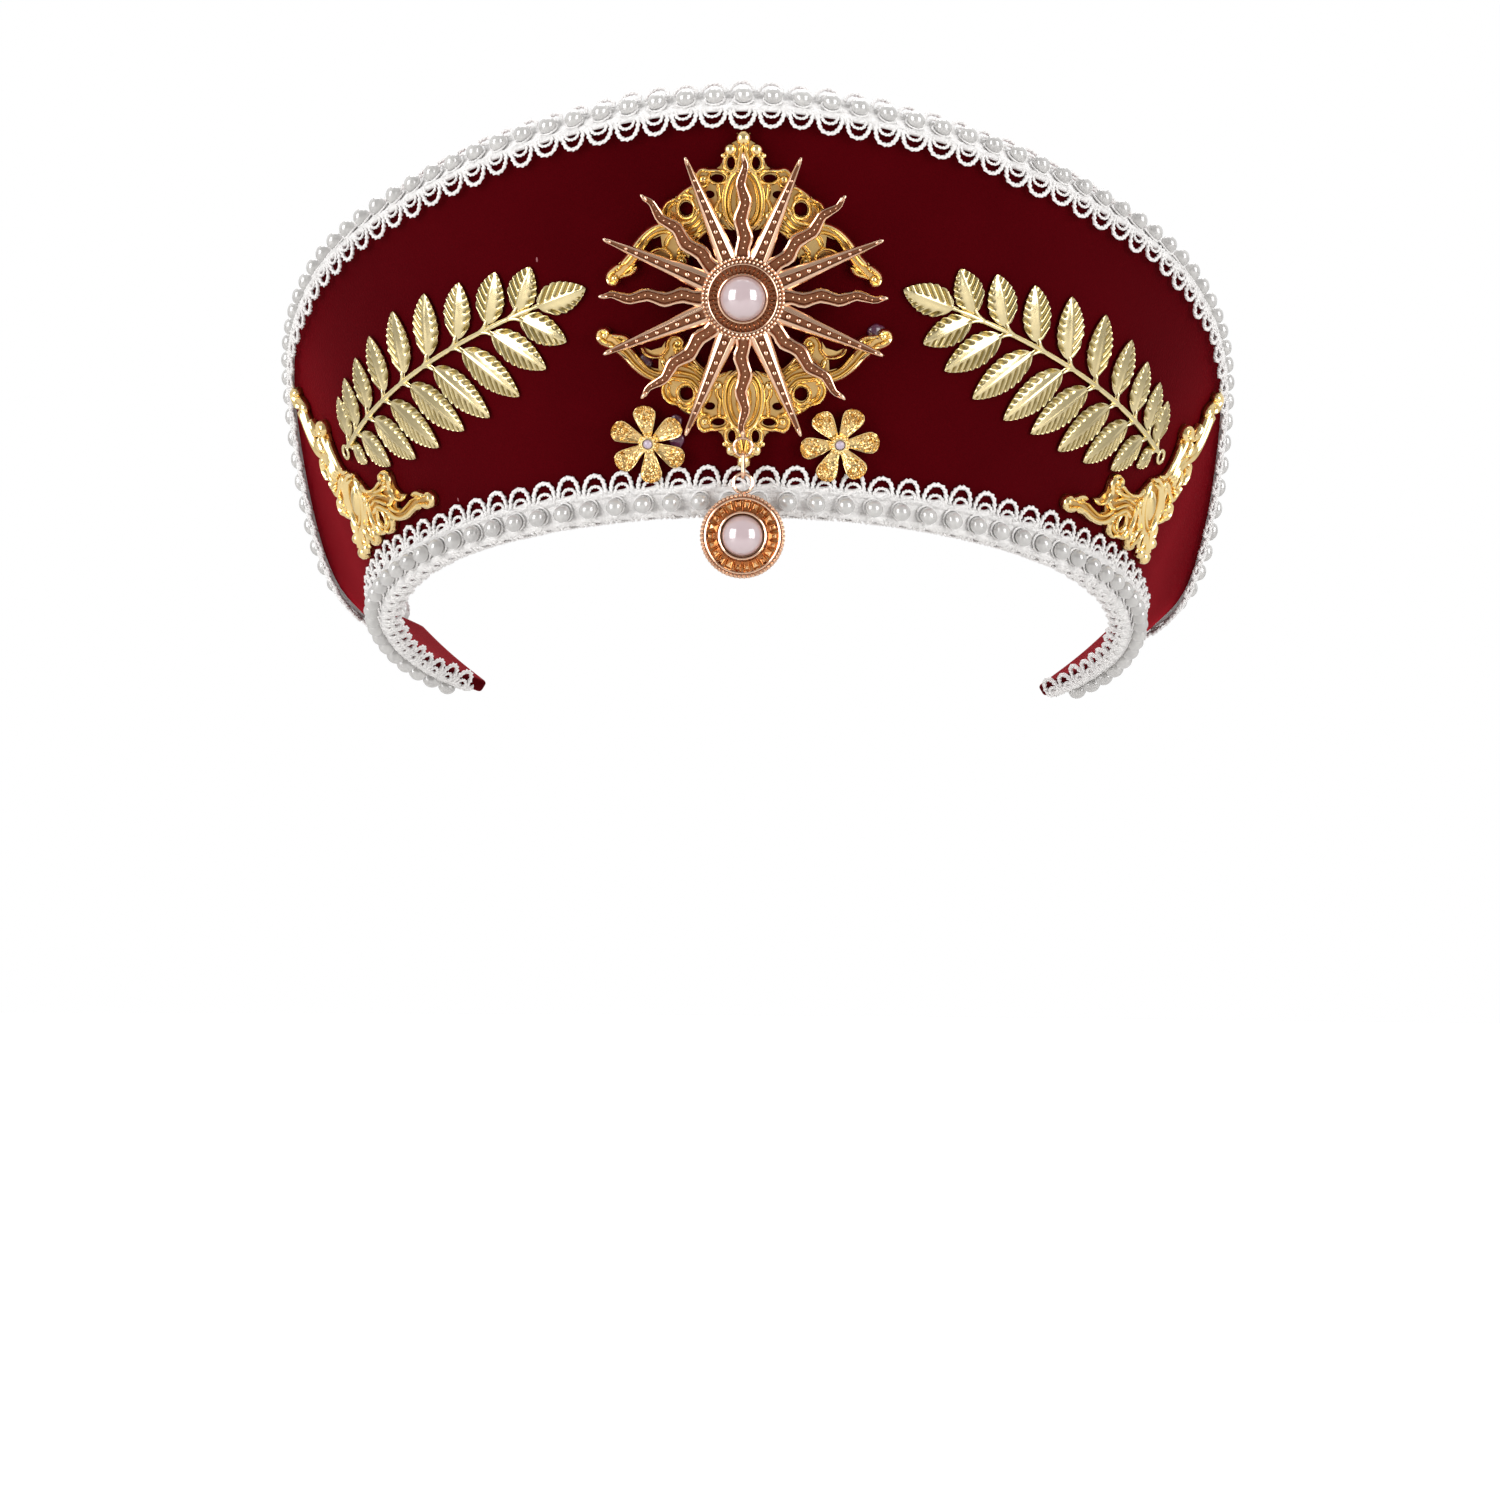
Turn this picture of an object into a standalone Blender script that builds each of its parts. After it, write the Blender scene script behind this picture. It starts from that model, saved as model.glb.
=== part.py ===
"""Crown headpiece: a velvet halo crown, open at the back, edged with pearl trim.

The crown keeps the pose in which it is worn. The origin is the centre of the
oval that the lower pearls follow, the front faces -Y, +X is the viewer's right
and +Z is up. Places on the wall are given as an angle round the crown, zero at
the front, and a height up the wall from its lower edge.
"""

import math

import bmesh
import bpy
import numpy as np
from mathutils import Matrix, Vector

MM = 0.001
GAP = 0.35 * MM

# Velvet wall: two leaning ovals with a ruled, slightly padded surface between them
LOWER_HALF_WIDTH = 88.1 * MM
LOWER_HALF_DEPTH = 83.5 * MM
LOWER_RISE = 24.6 * MM
LOWER_DROP = 2.6 * MM
UPPER_HALF_WIDTH = 110.5 * MM
UPPER_HALF_DEPTH = 103.3 * MM
WALL_THICKNESS = 3.2 * MM
WALL_PADDING = 1.0 * MM
END_ANGLE = 128.0
WALL_STEPS = 40
# Height of the upper edge above the origin: angle from the front, height
UPPER_EDGE_ROWS = (
    (0.0, 110.8 * MM),
    (22.0, 105.3 * MM),
    (45.0, 92.3 * MM),
    (67.0, 76.2 * MM),
    (90.0, 49.6 * MM),
    (110.0, 8.7 * MM),
    (128.0, -3.3 * MM),
)

# Pearl trim
PEARL_RADIUS = 2.0 * MM
PEARL_PITCH = 6.45 * MM
PEARL_SHOULDER = 1.3 * MM
PEARL_SIDES = 12
THREAD_RADIUS = 0.7 * MM
THREAD_LIFT = 1.1 * MM
LOWER_PEARL_HEIGHT = 3.0 * MM
BRAID_HALF_WIDTH = 5.5 * MM
BRAID_THICKNESS = 1.2 * MM
FRONT_FLAP = 4.8 * MM
# The pearls on the upper edge stand this far behind its outer corner
EDGE_PEARL_INSET = 1.3 * MM

# Sunburst
SUN_HEIGHT = 49.0 * MM
SUN_STANDOFF = 3.6 * MM
RAY_PAIRS = 8
HUB_RADIUS = 9.3 * MM
RAY_THICKNESS = 1.3 * MM
STRAIGHT_BASE = 4.3 * MM
WAVY_BASE = 3.0 * MM
STRAIGHT_LENGTH = 33.5 * MM
WAVY_LENGTH = 32.0 * MM
LOWEST_RAY_LENGTH = 31.6 * MM
RAY_TIP = 0.7 * MM
WAVE_SIZE = 0.7 * MM
WAVE_STEPS = 6
# Share of its height that a ray loses toward its tip, and of its width that the bevels leave
RAY_TAPER = 0.35
RAY_CREST = 0.6
SUN_PEARL_RADIUS = 5.05 * MM
SUN_PEARL_HEIGHT = 4.2 * MM
POST_RADIUS = 5.0 * MM
POST_SIDES = 10
# Turned relief of the hub, from its rim inward: radius, height
HUB_PROFILE = (
    (8.8 * MM, 2.1 * MM),
    (8.0 * MM, 1.5 * MM),
    (6.0 * MM, 2.4 * MM),
    (5.4 * MM, 2.4 * MM),
    (5.4 * MM, 1.2 * MM),
)

# Drop: a ring on the lowest ray, a jump ring and a round pendant
FIXED_RING_RADIUS = 2.05 * MM
FIXED_RING_WIRE = 0.35 * MM
FIXED_RING_REACH = 33.5 * MM
FIXED_RING_LIFT = 0.45 * MM
LINK_HALF_WIDTH = 1.45 * MM
LINK_WIRE = 0.42 * MM
LINK_PITCH = 3.9 * MM
LINK_CLEARANCE = 0.2 * MM
LOOP_RADIUS = 2.15 * MM
LOOP_WIRE = 0.4 * MM
DISC_REACH = 11.8 * MM
DROP_PEARL_RADIUS = 4.5 * MM
DROP_PEARL_HEIGHT = 3.6 * MM
DISC_SIDES = 20
RING_SIDES = 12
WIRE_SIDES = 5
# Turned profile of the disc, from its back to its pearl's seat: radius, height to the front
DISC_PROFILE = (
    (9.3 * MM, -0.9 * MM),
    (9.6 * MM, 0.7 * MM),
    (8.8 * MM, 1.2 * MM),
    (8.3 * MM, 0.6 * MM),
    (5.8 * MM, 1.1 * MM),
    (5.4 * MM, 1.9 * MM),
    (4.85 * MM, 1.9 * MM),
    (4.85 * MM, 0.8 * MM),
)

# Stamped ornaments
PLATE_THICKNESS = 0.7 * MM
PLATE_LIFT = 0.45 * MM
BEND_STEP = 15.0 * MM
BOSS_SIDES = 8
BOSS_TAPER = 0.6
CREST_BOSS_HEIGHT = 1.2 * MM
FLOWER_BOSS_HEIGHT = 1.0 * MM

# Where each crest sits: name, angle, height of its cartouche, turn of its tip from upright
CREST_ROWS = (
    ("crest_top", 0.0, 69.9 * MM, 0.0),
    ("crest_bottom", 0.0, 26.0 * MM, 180.0),
    ("side_crest_left", -72.2, 23.2 * MM, 137.0),
)
# Half outline of a crest from the tip of its finial down to the middle: across, up
CREST_OUTLINE = (
    (1.4, 15.7),
    (1.7, 13.2),
    (4.4, 12.0),
    (5.0, 8.0),
    (9.6, 6.9),
    (10.6, 4.2),
    (14.6, 2.9),
    (17.0, -1.4),
    (25.4, -8.4),
    (31.4, -14.4),
    (30.6, -16.5),
    (24.4, -14.2),
    (19.6, -12.0),
    (15.0, -14.4),
    (10.0, -7.6),
    (5.6, -5.2),
    (1.6, -6.8),
)
# Openings in one half of a crest: across, up, half width, half height
CREST_OPENINGS = (
    (2.7, 8.6, 1.0, 1.5),
    (6.3, 4.9, 1.6, 1.1),
    (12.6, -1.4, 1.9, 2.0),
    (20.0, -8.6, 2.9, 2.0),
)
OPENING_SIDES = 5
CREST_BOSS = (3.9 * MM, 5.0 * MM)

BRANCH_ANGLE = -46.6
BRANCH_HEIGHT = 42.8 * MM
BRANCH_SLOPE = 10.4
STEM_HALF_WIDTH = 0.75
EYE_RADIUS = 2.0
EYE_HOLE_RADIUS = 1.0
EYE_PLACE = -44.0
# Leaves along the stem, in mm and degrees: place, upper length and angle, lower length and angle
LEAF_ROWS = (
    (-39.5, 11.0, 68.0, 7.5, -66.0),
    (-33.5, 12.5, 67.0, 14.0, -62.0),
    (-25.5, 13.5, 69.0, 18.0, -60.0),
    (-16.5, 14.5, 72.0, 19.5, -61.0),
    (-7.5, 16.0, 66.0, 20.0, -59.0),
    (2.0, 16.0, 59.0, 20.0, -61.0),
    (12.0, 14.5, 55.0, 19.0, -59.0),
    (21.5, 13.5, 50.0, 16.5, -53.0),
    (30.0, 12.0, 44.0, 13.0, -46.0),
)
STEM_END = 36.0
TERMINAL_LEAF = 12.7
# A leaf's half width: at its widest, a share of its length and a fixed part; at root and tip
LEAF_WIDTH_SHARE = 0.16
LEAF_WIDTH_BASE = 0.75
LEAF_ROOT = 0.45
LEAF_TIP = 0.2

FLOWER_ANGLE = -13.1
FLOWER_HEIGHT = 16.6 * MM
PETALS = 6
PETAL_REACH = 8.6 * MM
PETAL_RISE = 1.3 * MM
PETAL_TURN = 15.0
# Outline of one petal: share of its reach, degrees from its middle
PETAL_ROWS = (
    (0.3, -26.0),
    (0.8, -20.0),
    (1.0, -6.0),
    (1.0, 6.0),
    (0.8, 20.0),
)
CUP_RADIUS = 1.7 * MM


def material(name, color, roughness, metallic):
    made = bpy.data.materials.new(name)
    made.use_nodes = True
    shader = made.node_tree.nodes["Principled BSDF"]
    shader.inputs["Base Color"].default_value = (*color, 1.0)
    shader.inputs["Roughness"].default_value = roughness
    shader.inputs["Metallic"].default_value = metallic
    made.diffuse_color = (*color, 1.0)
    return made


def finished(name, bm, look, smooth_angle=None):
    """Turn a closed bmesh into a named object."""
    bmesh.ops.recalc_face_normals(bm, faces=bm.faces)
    if bm.calc_volume(signed=True) < 0:
        bmesh.ops.reverse_faces(bm, faces=bm.faces)
    mesh = bpy.data.meshes.new(name)
    bm.to_mesh(mesh)
    bm.free()
    mesh.materials.append(look)
    if smooth_angle is not None:
        mesh.shade_smooth()
        mesh.set_sharp_from_angle(angle=math.radians(smooth_angle))
    made = bpy.data.objects.new(name, mesh)
    bpy.context.collection.objects.link(made)
    return made


def mirrored(source, name):
    """The other one of a left and right pair."""
    bm = bmesh.new()
    bm.from_mesh(source.data)
    bmesh.ops.scale(bm, vec=(-1.0, 1.0, 1.0), verts=bm.verts)
    return finished(name, bm, source.data.materials[0], 40.0)


def joined(target, extra):
    """Fuse a second solid into the first with a Boolean union."""
    union = target.modifiers.new("fuse " + extra.name, "BOOLEAN")
    union.operation = "UNION"
    union.solver = "EXACT"
    union.object = extra
    extra.hide_render = True
    extra.display_type = "WIRE"
    return target


def upper_edge_height(angle):
    """Smooth curve through the rows of the upper edge, level at the front."""
    angles = [row[0] for row in UPPER_EDGE_ROWS]
    heights = [row[1] for row in UPPER_EDGE_ROWS]
    slopes = np.gradient(heights, angles)
    slopes[0] = 0.0
    side = abs(angle)
    row = min(int(np.searchsorted(angles, side, side="right")) - 1, len(angles) - 2)
    width = angles[row + 1] - angles[row]
    t = (side - angles[row]) / width
    start = (1 + 2 * t) * (1 - t) ** 2 * heights[row] + t * (1 - t) ** 2 * width * slopes[row]
    end = t * t * (3 - 2 * t) * heights[row + 1] - t * t * (1 - t) * width * slopes[row + 1]
    return start + end


def lower_edge(angle):
    turn = math.radians(angle)
    rise = LOWER_RISE * math.cos(turn) - LOWER_DROP
    return Vector((LOWER_HALF_WIDTH * math.sin(turn), -LOWER_HALF_DEPTH * math.cos(turn), rise))


def upper_edge(angle):
    turn = math.radians(angle)
    height = upper_edge_height(angle)
    return Vector((UPPER_HALF_WIDTH * math.sin(turn), -UPPER_HALF_DEPTH * math.cos(turn), height))


def wall_height(angle):
    return (upper_edge(angle) - lower_edge(angle)).length


def wall_point(angle, height):
    """A point on the outer face of the velvet wall."""
    share = height / wall_height(angle)
    turn = math.radians(angle)
    padding = WALL_PADDING * math.sin(math.pi * min(max(share, 0.0), 1.0))
    outward = Vector((math.sin(turn), -math.cos(turn), 0.0))
    return lower_edge(angle).lerp(upper_edge(angle), share) + outward * padding


def wall_axes(angle, height):
    """Along the wall to the viewer's right, up it, and out of it."""
    small = 0.01
    step = 0.01 * MM
    along = wall_point(angle + small, height) - wall_point(angle - small, height)
    up = wall_point(angle, height + step) - wall_point(angle, height - step)
    out = along.cross(up).normalized()
    along.normalize()
    return along, out.cross(along), out


def raised(angle, height, lift):
    return wall_point(angle, height) + wall_axes(angle, height)[2] * lift


def wall_frame(angle, height, lift):
    """Local axes of a flat piece that stands on the wall: across, up, out."""
    along, up, out = wall_axes(angle, height)
    place = wall_point(angle, height) + out * lift
    return Matrix.Translation(place) @ Matrix((along, up, out)).transposed().to_4x4()


def wall_chart(angle, height):
    """Read a place across and up on the wall as an angle and a height."""
    along, up, _ = wall_axes(angle, height)
    per_degree = wall_point(angle + 0.5, height) - wall_point(angle - 0.5, height)
    per_metre = (wall_point(angle, height + MM) - wall_point(angle, height - MM)) / (2 * MM)
    forward = Matrix(
        (
            (per_degree.dot(along), per_metre.dot(along)),
            (per_degree.dot(up), per_metre.dot(up)),
        )
    )
    back = forward.inverted()

    def read(across, upward):
        turn, climb = back @ Vector((across, upward))
        return angle + turn, height + climb

    return read


def loft(bm, rings, closed=False):
    """Skin rings of equal count with quads, and cap the ends unless the loft closes."""
    made = [[bm.verts.new(point) for point in ring] for ring in rings]
    pairs = list(zip(made, made[1:]))
    if closed:
        pairs.append((made[-1], made[0]))
    else:
        bm.faces.new(made[0])
        bm.faces.new(reversed(made[-1]))
    for first, second in pairs:
        for i in range(len(first)):
            j = (i + 1) % len(first)
            bm.faces.new((first[i], second[i], second[j], first[j]))
    return made


def add_turned(bm, profile, sides):
    """A round solid turned about local Z, up through the profile."""
    rings = []
    for radius, height in profile:
        turns = [2 * math.pi * k / sides for k in range(sides)]
        rings.append([Vector((radius * math.cos(a), radius * math.sin(a), height)) for a in turns])
    loft(bm, rings)


def add_ring(bm, radius, wire, stretch=0.0):
    """A wire ring in the local XY plane, stretched along Y into a link."""
    rings = []
    for k in range(RING_SIDES):
        turn = 2 * math.pi * (k + 0.5) / RING_SIDES
        outward = Vector((math.cos(turn), math.sin(turn), 0.0))
        centre = outward * radius + Vector((0.0, math.copysign(stretch, outward.y), 0.0))
        section = [2 * math.pi * s / WIRE_SIDES for s in range(WIRE_SIDES)]
        around = [outward * math.cos(a) + Vector((0, 0, math.sin(a))) for a in section]
        rings.append([centre + way * wire for way in around])
    loft(bm, rings, closed=True)


def crown_shell(look):
    """Velvet over a stiff core: one wall with level outer face and plain inner face."""
    rings = []
    for angle in np.linspace(-END_ANGLE, END_ANGLE, WALL_STEPS + 1):
        full = wall_height(angle)
        ring = [raised(angle, full * share, 0.0) for share in (0.0, 0.25, 0.5, 0.75, 1.0)]
        ring += [raised(angle, full * share, -WALL_THICKNESS) for share in (1.0, 0.5, 0.0)]
        rings.append(ring)
    bm = bmesh.new()
    loft(bm, rings)
    return finished("crown_shell", bm, look, 40.0)


def pearl_stations(height_at):
    """Angles of the trim's sections: before, on and after each pearl, at an even pitch."""
    angles = np.linspace(-END_ANGLE, END_ANGLE, 721)
    points = [wall_point(angle, height_at(angle)) for angle in angles]
    steps = [(b - a).length for a, b in zip(points, points[1:])]
    travel = np.concatenate(([0.0], np.cumsum(steps)))
    count = int(travel[-1] / PEARL_PITCH) - 1
    start = (travel[-1] - count * PEARL_PITCH) / 2
    stations = []
    for k in range(count):
        middle = start + (k + 0.5) * PEARL_PITCH
        places = (middle - PEARL_PITCH / 2, middle - PEARL_SHOULDER, middle + PEARL_SHOULDER)
        stations += [(place, place == places[0]) for place in places]
    stations.append((start + count * PEARL_PITCH, True))
    return [(float(np.interp(place, travel, angles)), between) for place, between in stations]


def pearl_arc(between):
    """The round top of a pearl's section, or of the thread between two: side, lift."""
    radius = THREAD_RADIUS if between else math.sqrt(PEARL_RADIUS**2 - (PEARL_SHOULDER / 2) ** 2)
    base = THREAD_LIFT if between else PEARL_RADIUS
    turns = [math.radians(180 - 36 * k) for k in range(1, 5)]
    return [(radius * math.cos(a), base + radius * math.sin(a)) for a in turns]


def lower_pearl_trim(look):
    """Braid on the outer face along the lower edge, its pearls in one string along it."""
    rings = []
    for angle, between in pearl_stations(lambda _: LOWER_PEARL_HEIGHT):
        section = [(BRAID_HALF_WIDTH, GAP), (-BRAID_HALF_WIDTH, GAP), *pearl_arc(between)]
        _, up, out = wall_axes(angle, LOWER_PEARL_HEIGHT)
        centre = wall_point(angle, LOWER_PEARL_HEIGHT)
        rings.append([centre + up * side + out * lift for side, lift in section])
    bm = bmesh.new()
    loft(bm, rings)
    return finished("lower_pearl_trim", bm, look, 50.0)


def upper_pearl_trim(look):
    """Braid folded over the upper edge: a flap down the face, the pearls on the edge."""
    rings = []
    for angle, between in pearl_stations(wall_height):
        full = wall_height(angle)
        _, up, out = wall_axes(angle, full - 0.1 * MM)
        corner = wall_point(angle, full)
        arc = [(side - EDGE_PEARL_INSET, lift) for side, lift in pearl_arc(between)]
        section = [(GAP, GAP), (-WALL_THICKNESS - GAP, GAP), *arc]
        section += [(BRAID_THICKNESS, 0.0), (GAP, -FRONT_FLAP)]
        rings.append([corner + out * side + up * lift for side, lift in section])
    bm = bmesh.new()
    loft(bm, rings)
    return finished("upper_pearl_trim", bm, look, 50.0)


def ray_sections(wavy, base, length):
    """Sections of one ray from the hub outward: reach, sideways shift, half width."""
    steps = WAVE_STEPS if wavy else 1
    rows = []
    for k in range(1, steps + 1):
        share = k / steps
        reach = HUB_RADIUS + (length - HUB_RADIUS) * share
        shift = WAVE_SIZE * math.sin(math.pi * (k + 0.5)) * (1.0 if k < steps else 0.3)
        half = (base * (1 - share) + RAY_TIP * share) / 2
        rows.append((reach, shift if wavy else 0.0, half))
    return rows


def add_ray(bm, corners, turn, wavy, length):
    """Skin a ray out of four corners of the hub's rim."""
    outward = Vector((math.cos(turn), math.sin(turn), 0.0))
    sideways = Vector((-math.sin(turn), math.cos(turn), 0.0))
    last = corners
    base = (corners[0].co - corners[1].co).length
    for reach, shift, half in ray_sections(wavy, base, length):
        top = RAY_THICKNESS * (1.0 - RAY_TAPER * reach / length)
        crest_half = half * RAY_CREST
        ring = []
        for side, height in ((-half, 0.0), (half, 0.0), (crest_half, top), (-crest_half, top)):
            point = outward * reach + sideways * (shift + side) + Vector((0, 0, height))
            ring.append(bm.verts.new(point))
        for i in range(4):
            j = (i + 1) % 4
            bm.faces.new((last[i], last[j], ring[j], ring[i]))
        last = ring
    bm.faces.new(last)


def add_hub(bm):
    """The hub's back, rim corners and turned relief. Returns the rim corners of each ray."""
    whole = RAY_PAIRS * (STRAIGHT_BASE + WAVY_BASE)
    widths = [WAVY_BASE, STRAIGHT_BASE] * RAY_PAIRS
    turn = -math.pi * WAVY_BASE / whole
    turns = []
    for width in widths:
        turns.append(turn)
        turn += 2 * math.pi * width / whole
    rings = [[(HUB_RADIUS, 0.0, a) for a in turns], [(HUB_RADIUS, RAY_THICKNESS, a) for a in turns]]
    rings += [[(radius, height, a) for a in turns] for radius, height in HUB_PROFILE]
    made = []
    for ring in rings:
        made.append([bm.verts.new((r * math.cos(a), r * math.sin(a), z)) for r, z, a in ring])
    bm.faces.new(made[0])
    bm.faces.new(made[-1])
    count = len(turns)
    for first, second in zip(made[1:], made[2:]):
        for i in range(count):
            j = (i + 1) % count
            bm.faces.new((first[i], first[j], second[j], second[i]))
    low, high = made[0], made[1]
    pairs = [(i, (i + 1) % count) for i in range(count)]
    return [(low[i], low[j], high[j], high[i]) for i, j in pairs]


def sunburst(look):
    """Cast sun of straight and wavy rays, with a plain post to the wall behind it."""
    place = wall_frame(0.0, SUN_HEIGHT, SUN_STANDOFF)
    bm = bmesh.new()
    corners = add_hub(bm)
    for k, rim in enumerate(corners):
        turn = math.pi * k / RAY_PAIRS
        wavy = k % 2 == 0
        lowest = k == RAY_PAIRS * 3 // 2
        length = WAVY_LENGTH if wavy else STRAIGHT_LENGTH
        add_ray(bm, rim, turn, wavy, LOWEST_RAY_LENGTH if lowest else length)
    bm.transform(place)
    sun = finished("sunburst", bm, look, 30.0)

    ring = bmesh.new()
    add_ring(ring, FIXED_RING_RADIUS, FIXED_RING_WIRE)
    centre = Matrix.Translation((0.0, -FIXED_RING_REACH, FIXED_RING_LIFT))
    ring.transform(place @ centre)
    joined(sun, finished("fixed_ring", ring, look, 40.0))

    post = bmesh.new()
    length = SUN_STANDOFF - GAP
    add_turned(post, ((POST_RADIUS, -length), (POST_RADIUS, RAY_THICKNESS / 2)), POST_SIDES)
    post.transform(place)
    joined(sun, finished("hub_post", post, look, 40.0))
    return place


def half_pearl(name, place, radius, height, look):
    """Flat-backed pearl that stands on its seat."""
    turns = [math.radians(22.5 * k) for k in range(4)]
    profile = [(radius * math.cos(a), height * math.sin(a)) for a in turns]
    bm = bmesh.new()
    add_turned(bm, profile, PEARL_SIDES)
    bm.transform(place)
    return finished(name, bm, look, 60.0)


def drop_places(sun_place):
    """Where the jump ring passes the fixed ring, and where the pendant's loop hangs in it."""
    low_wire = Vector((0.0, -FIXED_RING_REACH - FIXED_RING_RADIUS, FIXED_RING_LIFT))
    upper = sun_place @ low_wire
    return upper, upper - Vector((0.0, 0.0, LINK_PITCH))


def drop_link(upper, lower, look):
    """Jump ring seen edge on, round both wires with a little play."""
    reach = (upper - lower).length / 2 + FIXED_RING_WIRE + LINK_CLEARANCE + LINK_WIRE
    bm = bmesh.new()
    add_ring(bm, LINK_HALF_WIDTH, LINK_WIRE, stretch=reach - LINK_HALF_WIDTH)
    edge_on = Matrix(((0, 0, 1), (1, 0, 0), (0, 1, 0))).to_4x4()
    bm.transform(Matrix.Translation((upper + lower) / 2) @ edge_on)
    return finished("drop_link", bm, look, 40.0)


def drop_pendant(lower, look):
    """Cast disc with a rim, a seat and a loop at its top, facing the front."""
    face = Matrix.Rotation(math.pi / 2, 4, "X")
    loop_place = Matrix.Translation(lower - Vector((0.0, 0.0, LOOP_RADIUS))) @ face
    disc_place = Matrix.Translation(Vector((0.0, 0.0, -DISC_REACH))) @ loop_place
    bm = bmesh.new()
    add_turned(bm, DISC_PROFILE, DISC_SIDES)
    bm.transform(disc_place)
    disc = finished("drop_pendant", bm, look, 40.0)
    loop = bmesh.new()
    add_ring(loop, LOOP_RADIUS, LOOP_WIRE)
    loop.transform(loop_place)
    joined(disc, finished("pendant_loop", loop, look, 40.0))
    return disc_place


def add_loop(bm, points):
    """A closed chain of edges in the local XY plane."""
    made = [bm.verts.new((x, y, 0.0)) for x, y in points]
    return made, [bm.edges.new((a, b)) for a, b in zip(made, made[1:] + made[:1])]


def oval(centre, half_width, half_height, sides):
    turns = [2 * math.pi * (k + 0.5) / sides for k in range(sides)]
    return [(centre[0] + half_width * math.cos(a), centre[1] + half_height * math.sin(a)) for a in turns]


def stamped(name, look, outline, openings, boss, boss_height, angle, height, turn=0.0, dish=0.0):
    """A pierced plate cut from its outline, bossed in the middle, dished and bent onto the wall."""
    bm = bmesh.new()
    edges = add_loop(bm, outline)[1]
    for opening in openings:
        edges += add_loop(bm, opening)[1]
    boss_corners = []
    if boss:
        boss_corners, boss_edges = add_loop(bm, boss)
        edges += boss_edges
    bmesh.ops.triangle_fill(bm, edges=edges, use_beauty=True)
    if boss_corners:
        top = bm.faces.new(boss_corners)
        extruded = bmesh.ops.extrude_discrete_faces(bm, faces=[top])["faces"][0]
        centre = extruded.calc_center_median()
        for corner in extruded.verts:
            corner.co = centre + (corner.co - centre) * BOSS_TAPER + Vector((0, 0, boss_height))
    bmesh.ops.rotate(bm, verts=bm.verts, matrix=Matrix.Rotation(math.radians(turn), 3, "Z"))
    reach = max(max(abs(v.co.x), abs(v.co.y)) for v in bm.verts)
    for k in range(-int(reach / BEND_STEP), int(reach / BEND_STEP) + 1):
        cut = (k * BEND_STEP + 0.5 * MM, 0.0, 0.0)
        geometry = bm.verts[:] + bm.edges[:] + bm.faces[:]
        bmesh.ops.bisect_plane(bm, geom=geometry, plane_co=cut, plane_no=(1.0, 0.0, 0.0))
    base = bmesh.ops.extrude_face_region(bm, geom=bm.faces[:], use_keep_orig=True)["geom"]
    under = [v for v in base if isinstance(v, bmesh.types.BMVert)]
    for corner in under:
        corner.co.z = -PLATE_THICKNESS
    read = wall_chart(angle, height)
    for corner in bm.verts:
        place = read(corner.co.x, corner.co.y)
        rise = dish * (corner.co.xy.length / reach) ** 2
        corner.co = raised(*place, PLATE_LIFT + PLATE_THICKNESS + corner.co.z + rise)
    return finished(name, bm, look, 35.0)


def crest(name, angle, height, turn, look):
    """Filigree crest: a finial, a domed cartouche and two scrolled arms, pierced between."""
    right = [(x * MM, y * MM) for x, y in CREST_OUTLINE]
    outline = right + [(-x, y) for x, y in reversed(right)]
    openings = []
    for x, y, half_width, half_height in CREST_OPENINGS:
        for side in (-1, 1):
            centre = (side * x * MM, y * MM)
            openings.append(oval(centre, half_width * MM, half_height * MM, OPENING_SIDES))
    boss = oval((0.0, 0.0), *CREST_BOSS, BOSS_SIDES)
    return stamped(name, look, outline, openings, boss, CREST_BOSS_HEIGHT, angle, height, turn)


def leaf_points(root, length, turn):
    """Points round a leaf from one side of its root to the other."""
    along = Vector((math.cos(turn), math.sin(turn)))
    across = Vector((-along.y, along.x))
    half = LEAF_WIDTH_SHARE * length + LEAF_WIDTH_BASE
    rows = ((0.12, LEAF_ROOT), (0.5, half), (1.0, LEAF_TIP))
    right = [root + along * length * reach - across * side for reach, side in rows]
    left = [root + along * length * reach + across * side for reach, side in reversed(rows[:-1])]
    return right + left


def leaf_branch(look):
    """A stem with leaves on both sides, an end leaf, and an eye at the lower end."""
    upper, lower = [], []
    for place, upper_length, upper_turn, lower_length, lower_turn in LEAF_ROWS:
        upper_root = Vector((place, STEM_HALF_WIDTH * 0.5))
        lower_root = Vector((place, -STEM_HALF_WIDTH * 0.5))
        upper += reversed(leaf_points(upper_root, upper_length, math.radians(upper_turn)))
        lower += leaf_points(lower_root, lower_length, math.radians(lower_turn))
    tip = leaf_points(Vector((STEM_END, 0.0)), TERMINAL_LEAF, 0.0)
    eye = [Vector(point) for point in oval((EYE_PLACE, 0.0), EYE_RADIUS, EYE_RADIUS, 6)]
    hole = [Vector(point) for point in oval((EYE_PLACE, 0.0), EYE_HOLE_RADIUS, EYE_HOLE_RADIUS, 6)]
    slope = Matrix.Rotation(math.radians(BRANCH_SLOPE), 2)
    outline = [slope @ (point * MM) for point in eye + lower + tip + upper[::-1]]
    opening = [slope @ (point * MM) for point in hole]
    place = (BRANCH_ANGLE, BRANCH_HEIGHT)
    return stamped("leaf_branch_left", look, outline, [opening], None, 0.0, *place)


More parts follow.
